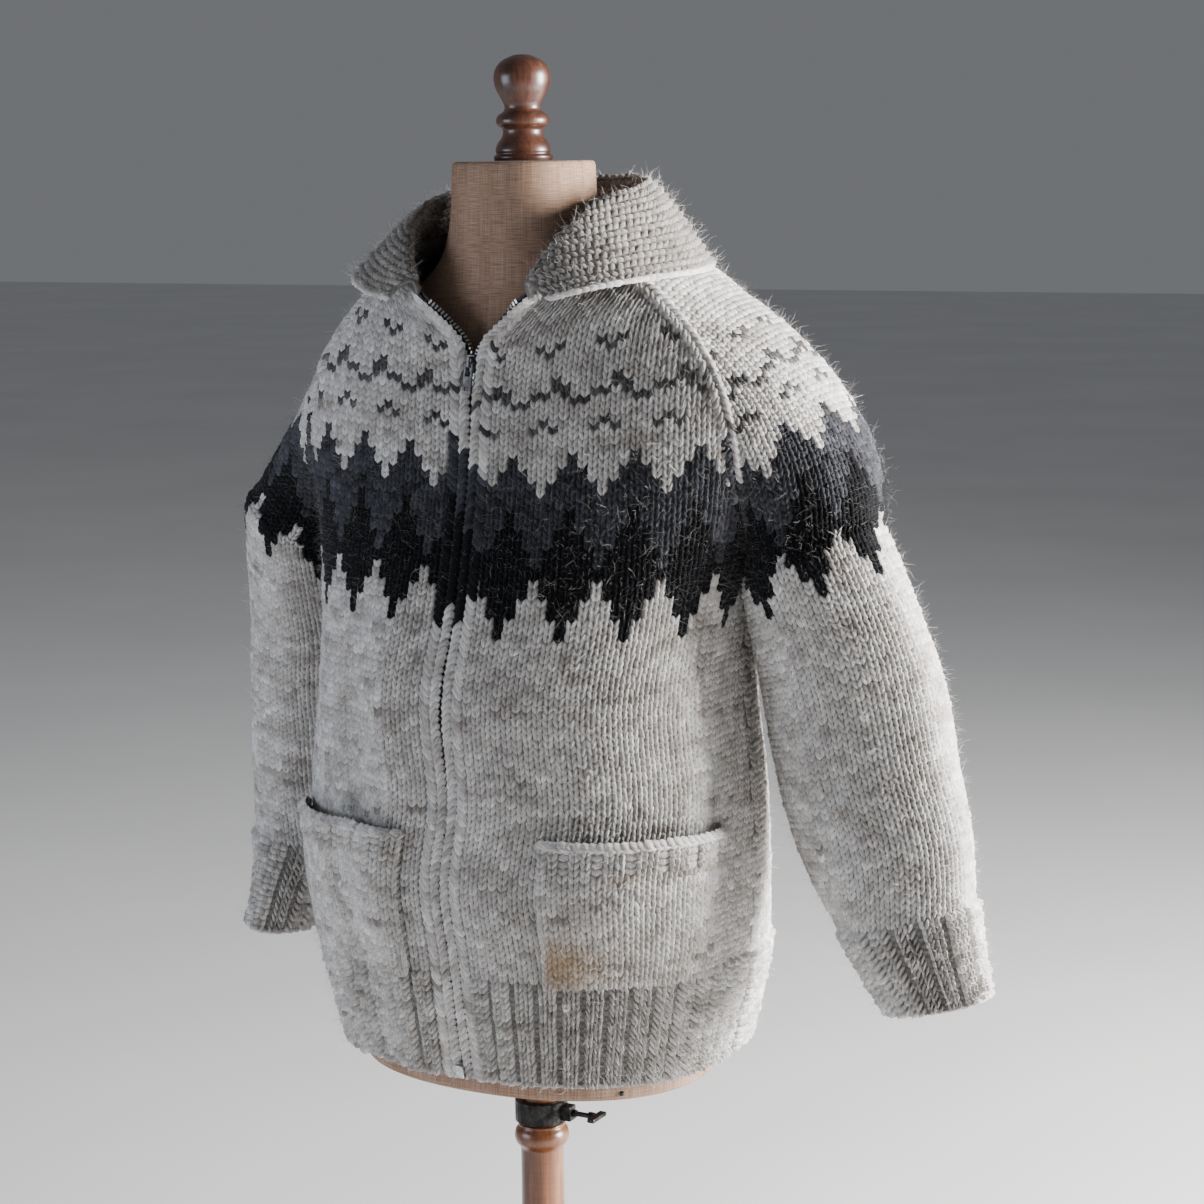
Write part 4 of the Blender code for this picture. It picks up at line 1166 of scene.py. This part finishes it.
strands = {}
for name, panel in panels.items():
    shell(name + "_base", panel, shaded_ground_colours(name), wool_base)
    yarn = Yarn()
    stockinette(name, yarn)
    ribbing(name, yarn)
    cast_on_edge(name, yarn)
    if name.startswith("front"):
        edge_band(name, yarn)
        raglan_cords(name, yarn, (1,))
    else:
        raglan_cords(name, yarn, (-1, 1))
    strands[name] = yarn


# ---------------------------------------------------------------- pockets
POCKET_COLUMNS = 30
POCKET_BAND = 5              # courses of ribbing at the mouth
POCKET_CORD_IN = 0.0022      # from a pocket's side in to its cord
POCKET_RISE = 1.6            # how far the mouth's ribs stand out, in stitches' rises


def pocket_panel(name, side):
    """A pocket's outer face, off the front by the wall, a gap and the gape of its mouth."""
    low_share, high_share = POCKET_ACROSS[name]
    rows = int(round((POCKET_TOP_Z - RIB_TOP_Z) / COURSE))
    columns = POCKET_COLUMNS
    grid = np.zeros((rows + 1, columns + 1, 3))
    for row in range(rows + 1):
        z = RIB_TOP_Z + (POCKET_TOP_Z - RIB_TOP_Z) * row / rows
        level = body_level(z)
        for column in range(columns + 1):
            share = low_share + (high_share - low_share) * column / columns
            grid[row, column] = front_surface(name, side, share, level)
    normal = grid_normals(grid, side)
    level_up = np.linspace(0, 1, rows + 1)[:, None]
    place = np.linspace(0, 1, columns + 1)[None, :]
    gape = POCKET_GAPE * level_up ** 1.4 * np.clip(np.sin(math.pi * place), 0, 1) ** 0.7
    return Panel(grid + normal * (WALL + GAP + gape)[:, :, None], 0, side, 0.004)


def stain_tint(points, centre, radius, strength):
    """How far each point takes the colour of an old stain."""
    miss = np.linalg.norm((points - np.array(centre)) / np.array(radius), axis=1)
    return np.exp(-miss ** 2)[:, None] * strength


def pocket_colours(panel, row, places, stained):
    """Yarn colours along a pocket's course, with the old stains where it has them."""
    colours = heather(len(places))
    if stained:
        here = panel.point(np.full(len(places), float(row)), places)
        for centre, radius, strength in STAINS:
            tint = stain_tint(here, centre, radius, strength)
            colours = colours * (1 - tint) + STAIN * tint
    return colours


def knit_pocket(panel, stained):
    """A pocket's plain courses, its ribbed mouth and the cords along its edges."""
    yarn = Yarn()
    rows = len(panel.grid)
    width = float((panel.high - panel.low).mean())
    wales = int(round(width / WALE))
    pitch = width / wales
    raised = np.arange(wales) % 3 != 2
    for row in range(rows - 1):
        share = (np.arange(wales) + 0.5) / wales
        places = panel.low[row] + share * (panel.high[row] - panel.low[row])
        rise = STITCH_RISE
        colours = None
        if row >= rows - POCKET_BAND:
            lay_purls(yarn, panel, row, places[~raised], *POCKET_PURL)
            places = places[raised]
            rise = STITCH_RISE * POCKET_RISE
        else:
            colours = pocket_colours(panel, row, places, stained)
        count = len(places)
        lay_stitches(yarn, panel, np.full(count, row), places, np.zeros(count, int), pitch, rise, colours)
    mouth = np.linspace(panel.low[-1] + 0.001, panel.high[-1] - 0.001, 80)
    lay_cord(yarn, panel, np.full(len(mouth), rows - 1.1), mouth, *POCKET_MOUTH_CORD)
    for places in (panel.low + POCKET_CORD_IN, panel.high - POCKET_CORD_IN):
        lay_cord(yarn, panel, np.arange(rows).astype(float), places, *POCKET_SIDE_CORD)
    return yarn


for pocket, name, side in (("pocket_left", "front_left", 1), ("pocket_right", "front_right", -1)):
    panel = pocket_panel(name, side)
    panels[pocket] = panel
    # The pocket's base shell: oatmeal darkened as painted shade between its stitches.
    painted_shade_ground = np.tile(OATMEAL * 0.42, (*panel.grid.shape[:2], 1))
    shell(pocket + "_base", panel, painted_shade_ground, wool_base)
    strands[pocket] = knit_pocket(panel, side > 0)


# ---------------------------------------------------------------- collar
COLLAR_STATIONS = 176
COLLAR_COLUMNS = 26
GARTER_LINE = 0.0064
# Painted shade: the collar's yarn is drawn darker than the body's, for the shade that falls on the collar.
COLLAR_PAINTED_SHADE = np.array((0.50, 0.475, 0.455))


GARTER_FIRST = 0.0042        # from the collar's edge in to the first line
RIM_IN = 0.0012              # and to the cord along it
GARTER_REACH = 1.25          # half a garter stitch's length, in stations
GARTER_HALF = 0.0031         # half its width
GARTER_RISE = 0.0034
GARTER_TILT = 0.0010


def neckline():
    """The neck seam, from the right front round the back to the left front."""
    shares = np.linspace(0, 1, 25)
    line = [front_surface("front_right", -1, share, 2) for share in shares]
    line += [sleeve_surface("sleeve_right", -1, share, 2) for share in shares[1:]]
    line += [back_surface(share, 2) for share in shares[1:]]
    line += [sleeve_surface("sleeve_left", 1, share, 2) for share in shares[-2::-1]]
    line += [front_surface("front_left", 1, share, 2) for share in shares[-2::-1]]
    return np.array([list(point) for point in line])


def collar_panel():
    """The collar's outer face: up from the neck seam, over its fold and down to its edge."""
    line = neckline()
    gaps = np.linalg.norm(np.diff(line, axis=0), axis=1)
    lengths = np.concatenate([[0], np.cumsum(gaps)])
    grid = []
    for place in np.linspace(0, lengths[-1], COLLAR_STATIONS):
        base = Vector([np.interp(place, lengths, line[:, axis]) for axis in range(3)])
        round_place = 2 * place / lengths[-1] - 1
        side = 1 if round_place > 0 else -1
        step = 1 - abs(round_place)
        table = COLLAR_LEFT if side > 0 else COLLAR_RIGHT
        fold = read_point(table, step, 1)
        edge = read_point(table, step, 4)
        fold.x *= side
        edge.x *= side
        handle = 2 * fold - (base + edge) / 2
        row = []
        for share in np.linspace(1, 0, COLLAR_COLUMNS):
            row.append(base * (1 - share) ** 2 + handle * 2 * share * (1 - share) + edge * share ** 2)
        grid.append(row)
    return Panel(grid, 0, 1, 0.004)


def knit_collar(panel):
    """Garter ridges round the collar, line by line, and the cord along its edge."""
    yarn = Yarn()
    rows = len(panel.grid)
    for line in range(int(panel.high.max() / GARTER_LINE)):
        stations = np.arange(2.0 + line % 2, rows - 2, 2.0)
        place = GARTER_FIRST + line * GARTER_LINE
        stations = stations[np.interp(stations, np.arange(rows), panel.high) > place + 0.002]
        count = len(stations)
        if count == 0:
            continue
        here = stations + random.normal(0, 0.08, count)
        places = np.full(count, place) + random.normal(0, 0.0003, count)
        tilt = np.where(line % 2, GARTER_TILT, -GARTER_TILT)
        start = panel.point(here - GARTER_REACH, places - tilt)
        end = panel.point(here + GARTER_REACH, places + tilt)
        half = panel.sideways(here, places) * (GARTER_HALF * random.normal(1, 0.08, count))[:, None]
        rise = GARTER_RISE * random.normal(1, 0.12, count)
        yarn.add(start, end, half, panel.normal(here, places), rise, heather(count, COLLAR_PAINTED_SHADE), False)
    stations = np.arange(0.0, rows - 1)
    lay_cord(yarn, panel, stations, np.full(len(stations), RIM_IN), *COLLAR_RIM_CORD)
    return yarn


panels["collar"] = collar_panel()
# The collar's base shell: oatmeal darkened further as painted shade under its garter ridges.
painted_shade_ground = np.tile(OATMEAL * 0.26, (*panels["collar"].grid.shape[:2], 1))
shell("collar_base", panels["collar"], painted_shade_ground, wool_base, thick=0.0022)
strands["collar"] = knit_collar(panels["collar"])

yarn_pieces = {name: yarn.build(name + "_yarn", wool) for name, yarn in strands.items()}


# ---------------------------------------------------------------- fuzz
HAIR_WIDTH = 0.00019
HAIRS = {"front_left": 15000, "front_right": 10500, "back": 6500,
         "sleeve_left": 13000, "sleeve_right": 7000, "collar": 7000,
         "pocket_left": 3000, "pocket_right": 1800}


def fluff(name, yarn, count):
    """Loose fibres standing off the yarn, as narrow curling ribbons."""
    points = np.concatenate([part[0] for part in yarn.parts])
    colours = np.concatenate([part[1] for part in yarn.parts])
    chosen = random.integers(0, len(points), count)
    legs = points[chosen]
    root = (legs[:, 2] + legs[:, 5]) / 2
    middle = (legs[:, 1] + legs[:, 3] + legs[:, 4] + legs[:, 6]) / 4
    out = root - middle
    out /= np.maximum(np.linalg.norm(out, axis=1, keepdims=True), 1e-9)
    heading = random.normal(0, 1, (count, 3))
    heading -= out * (heading * out).sum(axis=1, keepdims=True)
    heading /= np.linalg.norm(heading, axis=1, keepdims=True)
    length = np.clip(random.gamma(2.6, 0.0029, count), 0.003, 0.0155)[:, None]
    stand = random.uniform(0.25, 0.95, (count, 1))
    lines = [root - out * 0.0006]
    direction = out * stand + heading * (1.1 - stand)
    for _ in range(3):
        direction = direction + random.normal(0, 0.36, (count, 3))
        direction /= np.linalg.norm(direction, axis=1, keepdims=True)
        lines.append(lines[-1] + direction * length / 3)
    width = np.cross(direction, random.normal(0, 1, (count, 3)))
    width *= HAIR_WIDTH / 2 / np.linalg.norm(width, axis=1, keepdims=True)
    vertices = np.stack([lines[0] - width, lines[0] + width, lines[1] - width, lines[1] + width,
                         lines[2] - width * 0.7, lines[2] + width * 0.7, lines[3]], axis=1)
    faces = []
    for number in range(count):
        base = number * 7
        faces.append((base, base + 1, base + 3, base + 2))
        faces.append((base + 2, base + 3, base + 5, base + 4))
        faces.append((base + 4, base + 5, base + 6))
    mesh = mesh_from(vertices.reshape(-1, 3), faces, name)
    tone = colours[chosen]
    bright = tone.mean(axis=1, keepdims=True)
    pale = PALE * random.uniform(0.55, 1.25, (count, 1))
    mixed = np.where(bright < 0.15, tone * 0.40 + pale * 0.36, tone * 0.35 + pale * 0.75)
    paint(mesh, np.repeat(np.clip(mixed, 0, 0.95), 7, axis=0))
    return show(name, mesh, fuzz, "form")


fuzz_pieces = {name: fluff(name + "_fuzz", strands[name], count) for name, count in HAIRS.items()}


# ---------------------------------------------------------------- zip
def tape_strip(name, side):
    """The tape's centre surface, row by row: its toothed edge, middle and hidden edge."""
    panel = panels[name]
    rows = np.arange(len(panel.grid)).astype(float)
    edge = panel.grid[:, 0]
    normal = panel.normal(rows, panel.low)
    across = panel.sideways(rows, panel.low)
    strip = []
    for number in range(len(rows)):
        z = edge[number, 2]
        reach = min(read(ZIP_LINE, z, 2) - GAP / 2, TEETH_REACH)
        back_off = -normal[number] * (WALL / 2 + TAPE_GAP + TAPE_WALL / 2)
        teeth = edge[number] - across[number] * reach + back_off
        centre = read(ZIP_LINE, z, 1)
        teeth[0] = centre + side * max(side * (teeth[0] - centre), GAP / 2)
        strip.append([teeth, edge[number] + across[number] * TAPE_UNDER / 3 + back_off,
                      edge[number] + across[number] * TAPE_UNDER + back_off])
    return np.array(strip), normal, across


def box_corners(centre, right, up, out, size):
    """Eight corners of a box along three directions."""
    half = np.array(size) / 2
    return [centre + right * half[0] * a + up * half[1] * b + out * half[2] * c
            for c in (-1, 1) for b in (-1, 1) for a in (-1, 1)]


BOX_FACES = ((0, 2, 3, 1), (4, 5, 7, 6), (0, 1, 5, 4), (2, 6, 7, 3), (0, 4, 6, 2), (1, 3, 7, 5))
TOOTH_PITCH = 0.0034
TOOTH_SIZE = (0.0044, 0.0018, 0.0036)
TOOTH_SET = 0.0010           # a tooth's middle, in from its tape's edge
TEETH_ENDS = 0.006           # bare tape at the two ends together
FIRST_TOOTH = 0.004

for name, side in (("front_left", 1), ("front_right", -1)):
    tape = "zip_tape_left" if side > 0 else "zip_tape_right"
    strip, normal, across = tape_strip(name, side)
    strip_panel = Panel(strip, 0, side, 0.002)
    shell(tape + "_cloth", strip_panel, np.full((*strip.shape[:2], 3), 0.05), tape_cloth,
                         thick=0.0007, outer=0.0007)
    line = strip[:, 0]
    lengths = np.concatenate([[0], np.cumsum(np.linalg.norm(np.diff(line, axis=0), axis=1))])
    points = []
    faces = []
    for number in range(int((lengths[-1] - TEETH_ENDS) / TOOTH_PITCH)):
        at = FIRST_TOOTH + (number + (0.5 if side > 0 else 0.0)) * TOOTH_PITCH
        pick = [np.array([np.interp(at, lengths, table[:, axis]) for axis in range(3)])
                for table in (line, normal, across)]
        ahead = np.array([np.interp(at + 0.001, lengths, line[:, axis])
                          - np.interp(at - 0.001, lengths, line[:, axis]) for axis in range(3)])
        ahead /= np.linalg.norm(ahead)
        right = pick[2] - ahead * pick[2].dot(ahead)
        right /= np.linalg.norm(right)
        out = np.cross(right, ahead) * side
        corners = box_corners(pick[0] + right * TOOTH_SET, right, ahead, out, TOOTH_SIZE)
        base = len(points)
        points += corners
        faces += [tuple(base + index for index in face) for face in BOX_FACES]
    mesh = mesh_from(points, faces, "teeth")
    teeth = show("zip_teeth_left" if side > 0 else "zip_teeth_right", mesh, bright_tin, "form", False)


# ---------------------------------------------------------------- form and stand
def ring_faces(rings, sides):
    """Faces round a stack of rings of points, then the bottom and top caps."""
    faces = []
    for ring in range(rings - 1):
        for number in range(sides):
            other = (number + 1) % sides
            faces.append((ring * sides + number, ring * sides + other,
                          (ring + 1) * sides + other, (ring + 1) * sides + number))
    top = (rings - 1) * sides
    return faces + [tuple(range(sides - 1, -1, -1)), tuple(range(top, top + sides))]


def lathe(name, profile, material, body, sides=96, samples=6):
    """A turned solid from (z, radius) rows, read as a smooth curve between them."""
    heights = []
    for (low, _), (high, _) in zip(profile, profile[1:]):
        heights += [low + (high - low) * number / samples for number in range(samples)]
    heights.append(profile[-1][0])
    points = []
    for z in heights:
        radius = max(read(profile, z, 1), 0.0004)
        for number in range(sides):
            angle = 2 * math.pi * number / sides
            points.append((radius * math.cos(angle), radius * math.sin(angle), z))
    mesh = mesh_from(points, ring_faces(len(heights), sides), name)
    item = show(name, mesh, material, body)
    mesh.set_sharp_from_angle(angle=math.radians(48))
    return item


WEAVE_ROUND = 0.15           # metres of linen for each radian round the form


def form_mesh():
    """The linen-covered form, its two edges rounded and its weave laid out flat."""
    sides = 120
    heights = [0.392, 0.3922, 0.3932, 0.3950]
    heights += list(np.linspace(0.398, 1.1385, 90))
    heights += [1.1410, 1.1421, 1.1425]
    inset = {0.392: 0.955, 0.3922: 0.978, 0.3932: 0.992, 0.3950: 0.998, 1.1410: 0.990, 1.1421: 0.968,
             1.1425: 0.93}
    points = []
    places = []
    for z in heights:
        for number in range(sides):
            angle = 2 * math.pi * number / sides
            point = section_point(FORM, z, angle, FORM_POWER)
            shrink = inset.get(z, 1.0)
            points.append((point.x * shrink, point.y * shrink, z))
            places.append((angle * WEAVE_ROUND, z))
    mesh = mesh_from(points, ring_faces(len(heights), sides), "form")
    layer = mesh.uv_layers.new(name="weave")
    for polygon in mesh.polygons:
        cap = len(polygon.vertices) > 4
        turns = [places[index][0] for index in polygon.vertices]
        for loop, index in zip(polygon.loop_indices, polygon.vertices):
            u, v = places[index]
            if cap:
                u, v = points[index][0], points[index][1]
            elif max(turns) - min(turns) > 0.4 and u < 0.2:
                u += 2 * math.pi * WEAVE_ROUND
            layer.data[loop].uv = (u, v)
    item = show("form_linen", mesh, linen, "form")
    mesh.set_sharp_from_angle(angle=math.radians(60))
    return item


form = form_mesh()
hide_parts("form_torso")
tack_place = section_point(FORM, 0.3985, math.radians(57), FORM_POWER)
bpy.ops.mesh.primitive_uv_sphere_add(segments=16, ring_count=8, radius=0.0021, location=tack_place)
tack = bpy.context.object
tack.name = "form_tack"
tack.data.materials.append(iron)
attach(tack, "form")
finial = lathe("finial_turned", FINIAL_PROFILE + ((1.2269, 0.0052), (1.2273, 0.0004)), dark_wood,
               "form", 64, 4)
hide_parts("finial")
post = lathe("post_turned", POST_PROFILE, post_wood, "stand")
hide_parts("post")
base = lathe("base_turned", BASE_PROFILE, base_wood, "stand", 128, 3)
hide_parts("base")
for name, material in (("clamp_ring", iron), ("clamp_screw", iron), ("zip_slider", dark_tin),
                       ("zip_pull", dark_tin), ("zip_box", bright_tin)):
    nodes[name].data.materials.clear()
    nodes[name].data.materials.append(material)

# ---------------------------------------------------------------- what stands for what
for name in ("front_left", "front_right", "back", "sleeve_left", "sleeve_right", "collar",
             "pocket_left", "pocket_right"):
    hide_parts(name)
for name in ("zip_tape_left", "zip_tape_right"):
    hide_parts(name)

# ---------------------------------------------------------------- stage, light, camera
bpy.ops.mesh.primitive_plane_add(size=40, location=(0, 0, 0))
floor = bpy.context.object
floor.name = "floor"
floor.data.materials.append(floor_material())

world = bpy.data.worlds.new("studio")
bpy.context.scene.world = world
world.use_nodes = True
background = world.node_tree.nodes["Background"]
background.inputs["Color"].default_value = (0.80, 0.83, 0.88, 1.0)
background.inputs["Strength"].default_value = 0.20


def area_light(name, azimuth, distance, height, target, size, power, colour):
    """A rectangular light at a bearing from the front, turned towards a target."""
    light = bpy.data.lights.new(name, "AREA")
    light.shape = "RECTANGLE"
    light.size, light.size_y = size
    light.energy = power
    light.color = colour
    item = bpy.data.objects.new(name, light)
    angle = math.radians(azimuth)
    item.location = (distance * math.sin(angle), -distance * math.cos(angle), height)
    item.rotation_euler = (Vector(target) - item.location).to_track_quat("-Z", "Y").to_euler()
    bpy.context.scene.collection.objects.link(item)


area_light("key", 112, 2.5, 1.12, (0, 0, 0.78), (0.9, 1.4), 430, (1.0, 0.99, 0.97))
area_light("fill", -42, 2.8, 0.95, (0, 0, 0.75), (1.6, 1.4), 42, (0.78, 0.86, 1.0))

CAMERA_DISTANCE = 2.25
CAMERA_HEIGHT = 1.1425
CAMERA_TURN = math.radians(30)
CAMERA_DOWN = math.radians(90 - 9.15)
CAMERA_ASIDE = math.radians(1.48)
CAMERA_ROLL = math.radians(-0.85)
camera_data = bpy.data.cameras.new("camera")
camera_data.lens = 82.08
camera_data.sensor_width = 36.0
camera = bpy.data.objects.new("camera", camera_data)
bpy.context.scene.collection.objects.link(camera)
camera.matrix_world = (
    Matrix.Translation((CAMERA_DISTANCE * math.sin(CAMERA_TURN),
                        -CAMERA_DISTANCE * math.cos(CAMERA_TURN), CAMERA_HEIGHT))
    @ Matrix.Rotation(CAMERA_TURN - CAMERA_ASIDE, 4, "Z")
    @ Matrix.Rotation(CAMERA_DOWN, 4, "X")
    @ Matrix.Rotation(CAMERA_ROLL, 4, "Z"))
bpy.context.scene.camera = camera
